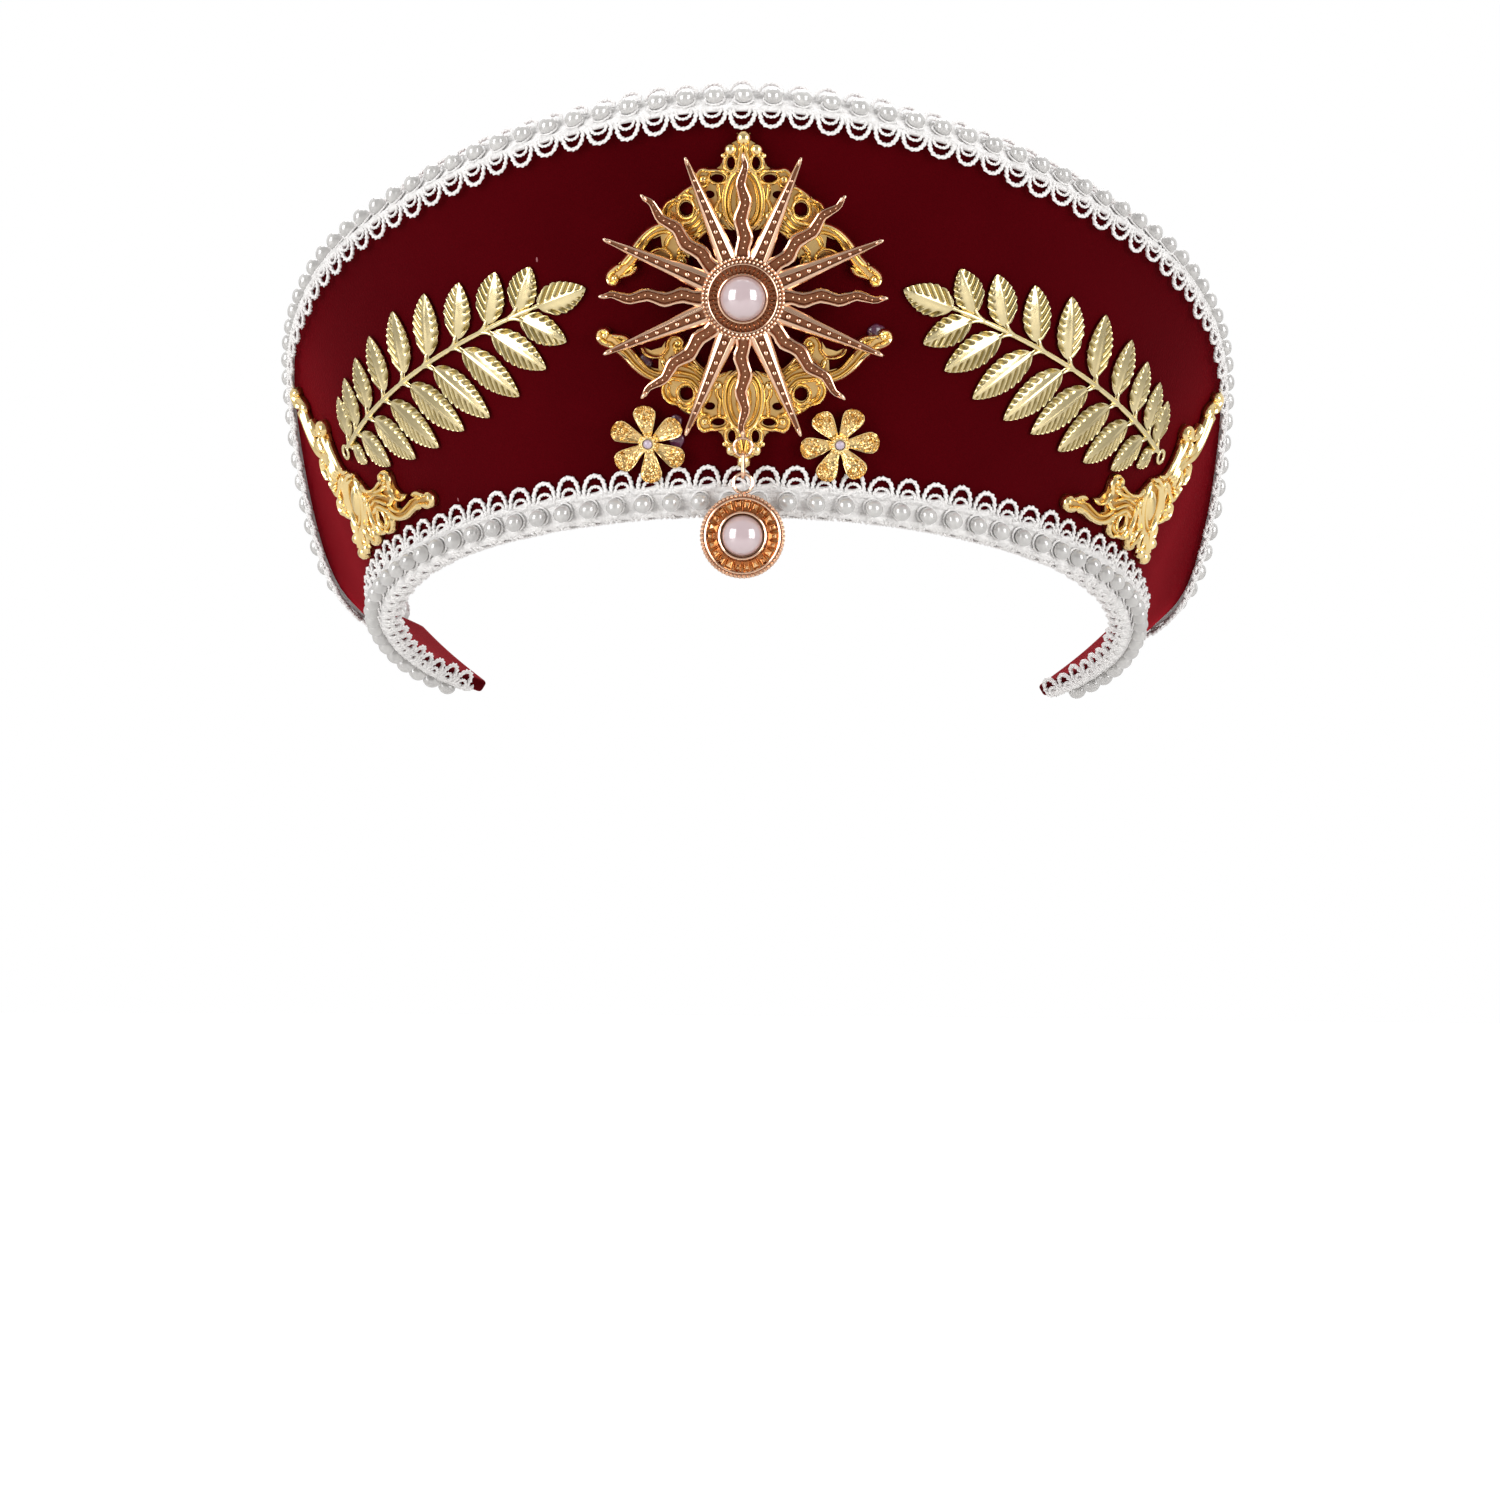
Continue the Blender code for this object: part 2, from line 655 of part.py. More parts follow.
def flower(look):
    """Six round petals about a small cup."""
    outline = []
    for k in range(PETALS):
        for share, spread in PETAL_ROWS:
            a = math.radians(360.0 * k / PETALS + PETAL_TURN + spread)
            outline.append((PETAL_REACH * share * math.cos(a), PETAL_REACH * share * math.sin(a)))
    boss = oval((0.0, 0.0), CUP_RADIUS, CUP_RADIUS, BOSS_SIDES)
    place = (FLOWER_ANGLE, FLOWER_HEIGHT)
    return stamped("flower_left", look, outline, [], boss, FLOWER_BOSS_HEIGHT, *place, dish=PETAL_RISE)


def build():
    velvet = material("crimson velvet", (0.16, 0.005, 0.012), 0.9, 0.0)
    braid = material("white pearl braid", (0.85, 0.85, 0.84), 0.45, 0.0)
    pearl = material("pale pink pearl", (0.87, 0.74, 0.74), 0.25, 0.0)
    rose_gold = material("rose gold", (0.86, 0.56, 0.42), 0.22, 1.0)
    gold = material("yellow gold", (0.85, 0.58, 0.22), 0.28, 1.0)
    pale_gold = material("pale gold", (0.83, 0.70, 0.38), 0.25, 1.0)

    crown_shell(velvet)
    upper_pearl_trim(braid)
    lower_pearl_trim(braid)

    for name, angle, height, turn in CREST_ROWS:
        made = crest(name, angle, height, turn, gold)
    mirrored(made, "side_crest_right")
    mirrored(leaf_branch(pale_gold), "leaf_branch_right")
    mirrored(flower(gold), "flower_right")

    sun_place = sunburst(rose_gold)
    seat = Matrix.Translation((0.0, 0.0, HUB_PROFILE[-1][1] + GAP))
    half_pearl("sunburst_pearl", sun_place @ seat, SUN_PEARL_RADIUS, SUN_PEARL_HEIGHT, pearl)

    upper, lower = drop_places(sun_place)
    drop_link(upper, lower, rose_gold)
    disc_place = drop_pendant(lower, rose_gold)
    seat = Matrix.Translation((0.0, 0.0, DISC_PROFILE[-1][1] + GAP))
    half_pearl("drop_pearl", disc_place @ seat, DROP_PEARL_RADIUS, DROP_PEARL_HEIGHT, pearl)


for existing in list(bpy.data.objects):
    bpy.data.objects.remove(existing, do_unlink=True)
build()
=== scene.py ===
"""Crown headpiece: a velvet halo crown with pearl lace, cast gold ornaments and a pearl drop.

The sections follow the order in which the crown is put together: the velvet band, the
lace on its two edges, the crests, branches and flowers, the sun, and last the drop.
"""

import math

import bmesh
import bpy
import numpy as np
from mathutils import Matrix, Vector, noise


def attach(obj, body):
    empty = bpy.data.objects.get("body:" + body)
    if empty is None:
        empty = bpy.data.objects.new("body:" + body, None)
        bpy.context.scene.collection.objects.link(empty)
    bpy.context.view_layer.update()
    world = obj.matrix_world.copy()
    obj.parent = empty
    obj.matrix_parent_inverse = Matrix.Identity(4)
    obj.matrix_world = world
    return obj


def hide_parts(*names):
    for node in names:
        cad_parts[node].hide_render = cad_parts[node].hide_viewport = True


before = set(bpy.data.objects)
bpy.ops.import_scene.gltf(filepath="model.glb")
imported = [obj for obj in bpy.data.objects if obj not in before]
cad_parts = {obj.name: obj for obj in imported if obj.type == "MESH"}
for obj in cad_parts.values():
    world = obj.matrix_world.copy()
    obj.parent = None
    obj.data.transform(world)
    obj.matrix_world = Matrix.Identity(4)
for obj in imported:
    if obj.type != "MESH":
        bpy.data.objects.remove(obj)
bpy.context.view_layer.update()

# Viewpoint: a long lens straight in front of the crown and a little below its middle, as the
# crown is seen when it is worn. The floor is a wide pale sheet that runs out into white.
MM = 0.001
CAMERA_TURN = -1.96
CAMERA_ROLL = 0.42
CAMERA_OFFSET = Vector((-1.35, -1395.0, -31.27))
LENS = 140.4
SENSOR_WIDTH = 36.0
NEAR_CLIP = 0.05
FLOOR_HEIGHT = -0.30
FLOOR_RADII = (0.0, 1.5, 3.0, 4.5)
FLOOR_TINTS = (0.86, 0.86, 0.87), (0.9, 0.9, 0.9)
FLOOR_BOUNCE = (0.60, 0.59, 0.58)
BLACK = (0, 0, 0)
WHITE = (1, 1, 1)

camera_data = bpy.data.cameras.new("front_view")
camera_data.lens = LENS
camera_data.sensor_width = SENSOR_WIDTH
camera_data.clip_start = NEAR_CLIP
camera = bpy.data.objects.new("front_view", camera_data)
bpy.context.collection.objects.link(camera)
rolled = Matrix.Rotation(math.radians(CAMERA_ROLL), 3, "Y")
turned = rolled @ Matrix.Rotation(math.radians(CAMERA_TURN), 3, "Z")
level = turned.inverted() @ Matrix.Rotation(math.pi / 2, 3, "X")
camera.matrix_world = Matrix.Translation(turned.inverted() @ CAMERA_OFFSET * MM) @ level.to_4x4()
bpy.context.scene.camera = camera


def node(tree, kind, inputs=(), **settings):
    """Add a shader node; inputs pairs a socket with a value or with another node's socket."""
    made = tree.nodes.new("ShaderNode" + kind)
    for name, value in settings.items():
        setattr(made, name, value)
    for socket, value in inputs:
        if isinstance(value, bpy.types.NodeSocket):
            tree.links.new(value, made.inputs[socket])
        else:
            made.inputs[socket].default_value = value
    return made


def new_look(name, **shader_values):
    """A material with its surface shader; the values are the shader's own sockets."""
    look = bpy.data.materials.new(name)
    look.use_nodes = True
    shader = look.node_tree.nodes["Principled BSDF"]
    for socket, value in shader_values.items():
        shader.inputs[socket.replace("_", " ")].default_value = value
    return look, look.node_tree, shader


def mottle(tree, scale, **sockets):
    """Noise that sits still on a piece; the texture's other sockets may be given."""
    inputs = [("Vector", node(tree, "TexCoord").outputs["Object"]), ("Scale", scale), *sockets.items()]
    return node(tree, "TexNoise", inputs).outputs["Fac"]


def spread(tree, value, low, high, to_low=0.0, to_high=1.0, **settings):
    """Map a value's range from low to high onto another, 0 to 1 unless given."""
    inputs = (("Value", value), ("From Min", low), ("From Max", high), ("To Min", to_low), ("To Max", to_high))
    return node(tree, "MapRange", inputs, **settings).outputs["Result"]


def blend(tree, share, *tints):
    """A colour between two tints by a share; a tint may be another node's socket."""
    ends = [tint if isinstance(tint, bpy.types.NodeSocket) else (*tint, 1) for tint in tints]
    mix = node(tree, "Mix", (("Factor", share), ("A", ends[0]), ("B", ends[1])), data_type="RGBA")
    return mix.outputs["Result"]


def full_turn(bm, profile, edges, steps):
    """Spin a profile once round the local Z axis, close the seam, give back the vertices."""
    before = set(bm.verts) - set(profile)
    geom = profile + edges
    bmesh.ops.spin(
        bm, geom=geom, cent=(0, 0, 0), axis=(0, 0, 1), angle=2 * math.pi, steps=steps, use_merge=True
    )
    fresh = [v for v in bm.verts if v not in before]
    bmesh.ops.remove_doubles(bm, verts=fresh, dist=0.0001)
    return [v for v in fresh if v.is_valid]


def floor_sheet():
    bm = bmesh.new()
    profile = [bm.verts.new((reach, 0.0, 0.0)) for reach in FLOOR_RADII]
    full_turn(bm, profile, [bm.edges.new(pair) for pair in zip(profile, profile[1:])], 96)
    bmesh.ops.recalc_face_normals(bm, faces=bm.faces)
    bmesh.ops.translate(bm, verts=bm.verts, vec=(0, 0, FLOOR_HEIGHT))
    mesh = bpy.data.meshes.new("pale_floor")
    bm.to_mesh(mesh)
    bm.free()
    mesh.shade_smooth()
    floor = bpy.data.objects.new("pale_floor", mesh)
    bpy.context.collection.objects.link(floor)
    look, tree, shader = new_look("pale paper", Roughness=0.9, Emission_Strength=0.75)
    paper = blend(tree, mottle(tree, 3.0), *FLOOR_TINTS)
    seen = node(tree, "LightPath").outputs["Is Camera Ray"]
    tree.links.new(blend(tree, seen, FLOOR_BOUNCE, paper), shader.inputs["Base Color"])
    tree.links.new(blend(tree, seen, BLACK, WHITE), shader.inputs["Emission Color"])
    mesh.materials.append(look)


floor_sheet()


# Studio light: two large upright soft boxes left and right of the lens, weak ones overhead and
# at the rear, and a room that is grey behind the lens and pale behind the crown.
LIGHT_ROWS = (
    ("left_box", (-0.80, -0.77, 0.20), (0.64, 0.80), 7.6),
    ("right_box", (0.80, -0.77, 0.20), (0.60, 0.80), 6.8),
    ("overhead_box", (0.0, 0.15, 1.2), (1.2, 0.7), 9.0),
    ("rear_box", (0.0, 1.1, 0.7), (1.2, 0.6), 4.0),
)
LIGHT_AIM = Vector((0.0, -0.05, 0.05))
ROOM_DARK = (0.34, 0.335, 0.33)
ROOM_LIGHT = (0.8, 0.8, 0.8)
for name, place, (width, height), power in LIGHT_ROWS:
    light = bpy.data.lights.new(name, "AREA")
    light.shape = "RECTANGLE"
    light.size = width
    light.size_y = height
    light.energy = power
    lamp = bpy.data.objects.new(name, light)
    bpy.context.collection.objects.link(lamp)
    aim = LIGHT_AIM - Vector(place)
    lamp.matrix_world = Matrix.Translation(place) @ aim.to_track_quat("-Z", "Y").to_matrix().to_4x4()

room = bpy.data.worlds.new("studio_room")
room.use_nodes = True
bpy.context.scene.world = room
backdrop = room.node_tree.nodes["Background"]
walls = room.node_tree
sight = node(walls, "LightPath").outputs["Is Camera Ray"]
way = node(walls, "SeparateXYZ", ((0, node(walls, "TexCoord").outputs["Generated"]),)).outputs["Y"]
paling = spread(walls, way, -1.0, 0.3, interpolation_type="SMOOTHSTEP")
room_tint = blend(walls, sight, blend(walls, paling, ROOM_DARK, ROOM_LIGHT), WHITE)
walls.links.new(room_tint, backdrop.inputs["Color"])
bpy.context.scene.view_settings.view_transform = "Standard"


# Velvet band: short-pile crimson velvet drawn tight over a thinly padded stiff core. Its two
# leaning edges are ovals, and the band between them is open at the back.
LOWER_HALF_WIDTH = 88.1
LOWER_HALF_DEPTH = 83.5
LOWER_RISE = 24.6
LOWER_DROP = 2.6
UPPER_HALF_WIDTH = 110.5
UPPER_HALF_DEPTH = 103.3
WALL_THICKNESS = 3.2
WALL_PADDING = 1.0
END_ANGLE = 128.0
UPPER_EDGE_ANGLES = np.array((0.0, 22.0, 45.0, 67.0, 90.0, 110.0, 128.0))
UPPER_EDGE_HEIGHTS = np.array((110.8, 105.3, 92.3, 76.2, 49.6, 8.7, -3.3))
UPPER_EDGE_SLOPES = np.gradient(UPPER_EDGE_HEIGHTS, UPPER_EDGE_ANGLES)
UPPER_EDGE_SLOPES[0] = 0.0
BAND_CELLS = (160, 26)
HEM_RADIUS = 0.9
HEM_MIN_ANGLE = 50.0
SHEEN_TINT = (0.62, 0.006, 0.022, 1)
GLOSS_TINT = (0.7, 0.05, 0.08, 1)
PILE_TINTS = (0.044, 0.0005, 0.0017), (0.059, 0.0008, 0.0023)
LINT_TINT = (0.30, 0.12, 0.13)


def upper_edge_height(angles):
    """Height of the band's upper edge, level at the front and falling to its ends."""
    side = np.abs(angles)
    row = np.clip(np.searchsorted(UPPER_EDGE_ANGLES, side, side="right") - 1, 0, len(UPPER_EDGE_ANGLES) - 2)
    width = UPPER_EDGE_ANGLES[row + 1] - UPPER_EDGE_ANGLES[row]
    t = (side - UPPER_EDGE_ANGLES[row]) / width
    heights, rises = UPPER_EDGE_HEIGHTS, UPPER_EDGE_SLOPES
    start = (1 + 2 * t) * (1 - t) ** 2 * heights[row] + t * (1 - t) ** 2 * width * rises[row]
    end = t * t * (3 - 2 * t) * heights[row + 1] - t * t * (1 - t) * width * rises[row + 1]
    return start + end


def band_edges(angles):
    """Points of the lower and of the upper edge, and the level direction out of the band."""
    turns = np.radians(angles)
    out = np.stack((np.sin(turns), -np.cos(turns), 0 * turns), axis=-1)
    lower = out * (LOWER_HALF_WIDTH, LOWER_HALF_DEPTH, 0)
    lower[..., 2] = LOWER_RISE * np.cos(turns) - LOWER_DROP
    upper = out * (UPPER_HALF_WIDTH, UPPER_HALF_DEPTH, 0)
    upper[..., 2] = upper_edge_height(angles)
    return lower, upper, out


def band_height(angles):
    lower, upper, _ = band_edges(angles)
    return np.linalg.norm(upper - lower, axis=-1)


def band_point(angles, heights):
    """Points on the outer face, from angles round the band and heights up it, in mm."""
    lower, upper, out = band_edges(angles)
    share = (heights / np.linalg.norm(upper - lower, axis=-1))[..., None]
    return lower + (upper - lower) * share + out * WALL_PADDING * np.sin(np.pi * np.clip(share, 0, 1))


def band_axes(angles, heights):
    """Directions to the viewer's right along the band, up it, and out of it."""
    along = band_point(angles + 0.01, heights) - band_point(angles - 0.01, heights)
    up = band_point(angles, heights + 0.01) - band_point(angles, heights - 0.01)
    out = np.cross(along, up)
    out /= np.linalg.norm(out, axis=-1)[..., None]
    along /= np.linalg.norm(along, axis=-1)[..., None]
    return along, np.cross(out, along), out


def coordinates(bm):
    return np.array([v.co[:] for v in bm.verts])


def set_coordinates(bm, places):
    for v, place in zip(bm.verts, places):
        v.co = place


def face_outward(bm):
    """Turn every closed part of a mesh to face outward, by the sign of its volume."""
    bm.normal_update()
    bmesh.ops.recalc_face_normals(bm, faces=bm.faces)
    seen = set()
    inverted = []
    for seed in bm.faces:
        if seed in seen:
            continue
        seen.add(seed)
        part = [seed]
        for face in part:
            fresh = {other for edge in face.edges for other in edge.link_faces} - seen
            seen |= fresh
            part += fresh
        middle = seed.calc_center_median()
        volume = sum(face.calc_area() * face.normal.dot(face.calc_center_median() - middle) for face in part)
        if volume < 0:
            inverted += part
    bmesh.ops.reverse_faces(bm, faces=inverted)


def finish_piece(name, bm, look, body, sharp=None, replaces=()):
    """Turn a closed bmesh into a named piece that rides on one of the crown's bodies."""
    face_outward(bm)
    mesh = bpy.data.meshes.new(name)
    bm.to_mesh(mesh)
    bm.free()
    mesh.materials.append(look)
    mesh.shade_smooth()
    if sharp:
        mesh.set_sharp_from_angle(angle=math.radians(sharp))
    piece = bpy.data.objects.new(name, mesh)
    bpy.context.collection.objects.link(piece)
    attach(piece, body)
    if replaces:
        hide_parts(*replaces)
    return piece


def raise_grain(tree, shader, height, strength, distance):
    """Let a height pattern stand up from a surface, by a distance in metres."""
    bump = node(tree, "Bump", (("Strength", strength), ("Distance", distance), ("Height", height)))
    tree.links.new(bump.outputs["Normal"], shader.inputs["Normal"])


def velvet_look():
    """Short pile: dark from the front, brighter where it is seen along the pile, with some lint."""
    look, tree, shader = new_look(
        "crimson velvet", Roughness=0.9, Sheen_Weight=0.8, Sheen_Roughness=0.4, Sheen_Tint=SHEEN_TINT,
        Specular_IOR_Level=0.1, Specular_Tint=GLOSS_TINT,
    )
    nap = spread(tree, mottle(tree, 22.0, Detail=3.0, Roughness=0.55), 0.3, 0.7)
    pile_tint = blend(tree, nap, *PILE_TINTS)
    place = node(tree, "TexCoord").outputs["Object"]
    drawn_out = (("Vector", place), ("Scale", (1.0, 1.0, 0.35)), ("Rotation", (0.3, 0.5, 0.2)))
    strands = node(tree, "Mapping", drawn_out).outputs["Vector"]
    cells = node(tree, "TexVoronoi", (("Vector", strands), ("Scale", 310.0)), feature="F1").outputs["Distance"]
    near = node(tree, "Math", ((0, cells), (1, 0.07)), operation="LESS_THAN").outputs["Value"]
    some = node(tree, "Math", ((0, mottle(tree, 55.0)), (1, 0.70)), operation="GREATER_THAN").outputs["Value"]
    lint = node(tree, "Math", ((0, near), (1, some)), operation="MULTIPLY").outputs["Value"]
    tree.links.new(blend(tree, lint, pile_tint, LINT_TINT), shader.inputs["Base Color"])
    raise_grain(tree, shader, mottle(tree, 1900.0), 0.35, 0.0003)
    return look


def velvet_band():
    bm = bmesh.new()
    bmesh.ops.create_grid(bm, x_segments=BAND_CELLS[0], y_segments=BAND_CELLS[1], size=1.0)
    back = bmesh.ops.extrude_face_region(bm, geom=bm.faces[:], use_keep_orig=True)["geom"]
    inner = [part for part in back if isinstance(part, bmesh.types.BMVert)]
    bmesh.ops.translate(bm, verts=inner, vec=(0, 0, -WALL_THICKNESS))
    flat = coordinates(bm)
    angles = flat[:, 0] * END_ANGLE
    heights = (flat[:, 1] + 1) / 2 * band_height(angles)
    set_coordinates(bm, band_point(angles, heights) + band_axes(angles, heights)[2] * flat[:, 2:3])
    bmesh.ops.recalc_face_normals(bm, faces=bm.faces)
    turn = math.radians(HEM_MIN_ANGLE)
    hem = [e for e in bm.edges if len(e.link_faces) == 2 and e.calc_face_angle() > turn]
    bmesh.ops.bevel(
        bm, geom=hem, offset=HEM_RADIUS, offset_type="OFFSET", segments=4, profile=0.5,
        affect="EDGES", material=-1,
    )
    bmesh.ops.scale(bm, verts=bm.verts, vec=(MM, MM, MM))
    band = finish_piece("velvet_band", bm, velvet_look(), "crown", replaces=["crown_shell"])


velvet_band()


# Pearl lace: white two-ply cord worked in double loops on both sides of a closely wound gimp,
# with a white pearl in the middle of the gimp at each loop. It comes by the length and is glued on.
PEARL_RADIUS = 2.0
PEARL_PITCH = 6.45
LOWER_PEARL_HEIGHT = 3.0
GIMP_HALF_WIDTH = 3.5
GIMP_PEAK = 1.1
GIMP_CELLS = (16, 26)
TAPE_HALF_WIDTH = 1.75
CORD_RADIUS = 0.36
THIN_CORD_RADIUS = 0.25
CORD_TWIST = 2.3
# Cord of one loop, flat: place along the trim, place across it
OUTER_LOOP = (
    (-2.9, 3.0), (-2.75, 4.2), (-2.35, 5.5), (-1.35, 6.75), (0.0, 7.15), (1.3, 6.8), (2.1, 5.7), (2.4, 4.3),
    (2.5, 3.0),
)
INNER_LOOP = ((-1.75, 2.9), (-1.6, 3.8), (-1.0, 4.5), (0.0, 4.75), (1.0, 4.5), (1.6, 3.8), (1.75, 2.9))
# Lie of the trim over each edge: flat place across it, out from the band's face, and up from
# the pearls' line on the lower edge or from the corner on the upper one
LOWER_FOLD = (
    (-9.5, -6.3, -3.0),
    (-6.5, -3.4, -3.2),
    (-4.6, -1.6, -3.2),
    (-3.5, -0.5, -3.0),
    (-2.6, 0.0, -2.4),
    (0.0, 0.0, 0.0),
    (3.0, 0.0, 3.0),
    (6.0, 0.0, 6.0),
    (9.5, 0.0, 9.5),
)
UPPER_FOLD = (
    (-9.5, 1.1, -7.4),
    (-6.0, 1.25, -3.9),
    (-4.2, 1.2, -2.1),
    (-2.8, 1.0, -0.75),
    (-1.8, 0.5, 0.1),
    (0.0, -0.9, 1.1),
    (1.8, -2.5, 1.9),
    (2.8, -3.3, 2.4),
    (4.2, -4.4, 3.2),
    (6.0, -5.8, 4.3),
    (9.5, -8.4, 6.6),
)
UPPER_SQUEEZE = 0.87
THREAD_TINTS = (0.74, 0.72, 0.71), (0.93, 0.92, 0.91)
WHITE_PEARL_TINTS = (0.52, 0.51, 0.495), (0.44, 0.43, 0.42)


def curve_through(points, steps, closed=False):
    """A smooth path through the points, each stretch in so many steps."""
    rows = [np.array(p, dtype=float) for p in points]
    if closed:
        rows = [rows[-1], *rows, rows[0], rows[1]]
    else:
        rows = [2 * rows[0] - rows[1], *rows, 2 * rows[-1] - rows[-2]]
    path = []
    for a, b, c, d in zip(rows, rows[1:], rows[2:], rows[3:]):
        for k in range(steps):
            t = k / steps
            bend = (2 * a - 5 * b + 4 * c - d) * t * t + (3 * b - a - 3 * c + d) * t**3
            path.append(0.5 * (2 * b + (c - a) * t + bend))
    path.append(rows[-2])
    return path


def mark_painted_shade(bm, verts, shade_marks):
    """Mark how much painted shade each vertex takes, for the shade painted into a casting's hollows."""
    layer = bm.verts.layers.float.get("painted_shade")
    if layer:
        for v, depth in zip(verts, shade_marks):
            v[layer] = depth


def drawn(bm, section, stations, shade_marks=()):
    """Draw a closed section through stations: matrices that place it from end to end."""
    corners = [bm.verts.new(stations[0] @ Vector((x, y, 0.0))) for x, y in section]
    # The section's first corners take the painted shade marks.
    mark_painted_shade(bm, corners, shade_marks)
    face = bm.faces.new(corners)
    last = stations[0]
    for station in stations[1:]:
        first = last is stations[0]
        grown = bmesh.ops.extrude_face_region(bm, geom=[face, *face.edges], use_keep_orig=first)
        face = next(part for part in grown["geom"] if isinstance(part, bmesh.types.BMFace))
        bmesh.ops.transform(bm, matrix=station @ last.inverted(), verts=face.verts)
        last = station


def round_section(sides):
    return [(math.cos(2 * math.pi * k / sides), math.sin(2 * math.pi * k / sides)) for k in range(sides)]


def path_frames(path):
    """For each point of a level path: the point, the way ahead and the way to its side."""
    rows = []
    for k, point in enumerate(path):
        ahead = path[min(k + 1, len(path) - 1)] - path[max(k - 1, 0)]
        ahead = Vector((ahead[0], ahead[1], 0.0)).normalized()
        lift = point[2] if len(point) > 2 else 0.0
        rows.append((Vector((point[0], point[1], lift)), ahead, Vector((ahead.y, -ahead.x, 0.0))))
    return rows


def station(point, side, up, ahead, width, height):
    """Matrix that puts a section's width and height at a point of a path."""
    columns = Matrix((side * width, up * height, ahead)).transposed()
    return Matrix.Translation(point) @ columns.to_4x4()


def two_ply_cord(bm, points, steps, lift, radius, phase=0.0):
    """Two strands twisted about a common path, as the lace's loops show."""
    rows = path_frames(curve_through(points, steps))
    up = Vector((0, 0, 1))
    for ply in (0, math.pi):
        travel = 0.0
        stations = []
        for k, (point, ahead, side) in enumerate(rows):
            travel += (point - rows[max(k - 1, 0)][0]).length
            turn = phase + ply + 2 * math.pi * travel / (CORD_TWIST * radius / CORD_RADIUS)
            offset = (side * math.cos(turn) + up * math.sin(turn)) * radius * 0.8
            stations.append(station(point + offset + up * lift, side, up, ahead, radius, radius))
        drawn(bm, round_section(5), stations)


def lace_repeat(shift):
    """One repeat of the lace, flat: its loops on both sides, and the thread round its pearl."""
    bm = bmesh.new()
    two_ply_cord(bm, OUTER_LOOP, 2, 0.7, CORD_RADIUS)
    two_ply_cord(bm, INNER_LOOP, 3, 0.85, THIN_CORD_RADIUS, phase=1.0)
    loops = bmesh.ops.duplicate(bm, geom=bm.verts[:] + bm.edges[:] + bm.faces[:])["geom"]
    other = [part for part in loops if isinstance(part, bmesh.types.BMVert)]
    bmesh.ops.rotate(bm, verts=other, matrix=Matrix.Rotation(math.pi, 3, "Z"))
    bmesh.ops.translate(bm, verts=bm.verts, vec=(shift, 0, 0))
    turns = [2 * math.pi * k / 9 for k in range(10)]
    two_ply_cord(bm, [(2.05 * math.cos(a), 2.05 * math.sin(a)) for a in turns], 2, 0.95, THIN_CORD_RADIUS * 0.8)
    return bm


def gimp_length(lay, heights_of):
    """The gimp in one length: two fluffy rolls that peak between the loops, and a flat tape
    between them that carries the pearls."""
    travel, angles, middles = pearl_places(heights_of)
    bm = bmesh.new()
    bmesh.ops.create_grid(bm, x_segments=GIMP_CELLS[0] * len(middles), y_segments=GIMP_CELLS[1], size=1.0)
    under = bmesh.ops.extrude_face_region(bm, geom=bm.faces[:], use_keep_orig=True)["geom"]
    lower = {part for part in under if isinstance(part, bmesh.types.BMVert)}
    flat = []
    for v in bm.verts:
        reach, y = (v.co.x + 1) / 2 * len(middles), v.co.y
        between = abs(reach % 1.0 - 0.5) * 2
        half = GIMP_HALF_WIDTH + GIMP_PEAK * between**5
        across = abs(y) * half
        middle = TAPE_HALF_WIDTH + (half - TAPE_HALF_WIDTH) / 2
        roll = math.sqrt(max(0.0, 1 - ((across - middle) / (half - middle)) ** 2))
        tuft = noise.noise(Vector((reach * 11.0, y * half * 1.9, 0.0)))
        fluff = noise.noise(Vector((reach * 27.0, y * half * 4.5, 3.0)))
        rise = 0.12 if v in lower else 0.32 + 0.62 * roll + (0.5 * tuft + 0.3 * fluff) * roll
        flat.append((reach * PEARL_PITCH, y * half, rise))
    set_coordinates(bm, lay(np.array(flat), travel, angles, middles[0] - PEARL_PITCH / 2) * MM)
    return bm


def pearl_places(heights_of):
    """Angles of the pearls along an edge, at an even pitch, set evenly between its ends."""
    angles = np.linspace(-END_ANGLE, END_ANGLE, 1441)
    points = band_point(angles, heights_of(angles))
    travel = np.concatenate(([0.0], np.cumsum(np.linalg.norm(np.diff(points, axis=0), axis=1))))
    count = int(travel[-1] / PEARL_PITCH) - 1
    start = (travel[-1] - count * PEARL_PITCH) / 2
    middles = start + (np.arange(count) + 0.5) * PEARL_PITCH
    return travel, angles, middles


def folded(flat, fold):
    """Places of a flat repeat in the fold's section: out from the band and up it."""
    rows = np.array(curve_through(fold, 5))
    ways = np.gradient(rows[:, 1:], rows[:, 0], axis=0)
    ways /= np.linalg.norm(ways, axis=1)[:, None]
    out, up, way_out, way_up = (np.interp(flat[:, 1], rows[:, 0], row) for row in (*rows[:, 1:].T, *ways.T))
    return out + flat[:, 2] * way_up, up - flat[:, 2] * way_out


def lay_on_face(flat, travel, angles, middle):
    """Lay a flat repeat along the lower edge, its lower side turned in under the edge."""
    turns = np.interp(middle + flat[:, 0], travel, angles)
    place_out, place_up = folded(flat, LOWER_FOLD)
    heights = LOWER_PEARL_HEIGHT + place_up
    return band_point(turns, heights) + band_axes(turns, heights)[2] * place_out[:, None]


def fold_over_edge(flat, travel, angles, middle):
    """Lean a flat repeat over the upper edge, its lower half down the face, the rest standing up."""
    turns = np.interp(middle + flat[:, 0], travel, angles)
    full = band_height(turns)
    _, up, out = band_axes(turns, full - 0.1)
    place_out, place_up = folded(flat * (1, UPPER_SQUEEZE, 1) - (0, 0, 0.25), UPPER_FOLD)
    return band_point(turns, full) + out * place_out[:, None] + up * place_up[:, None]


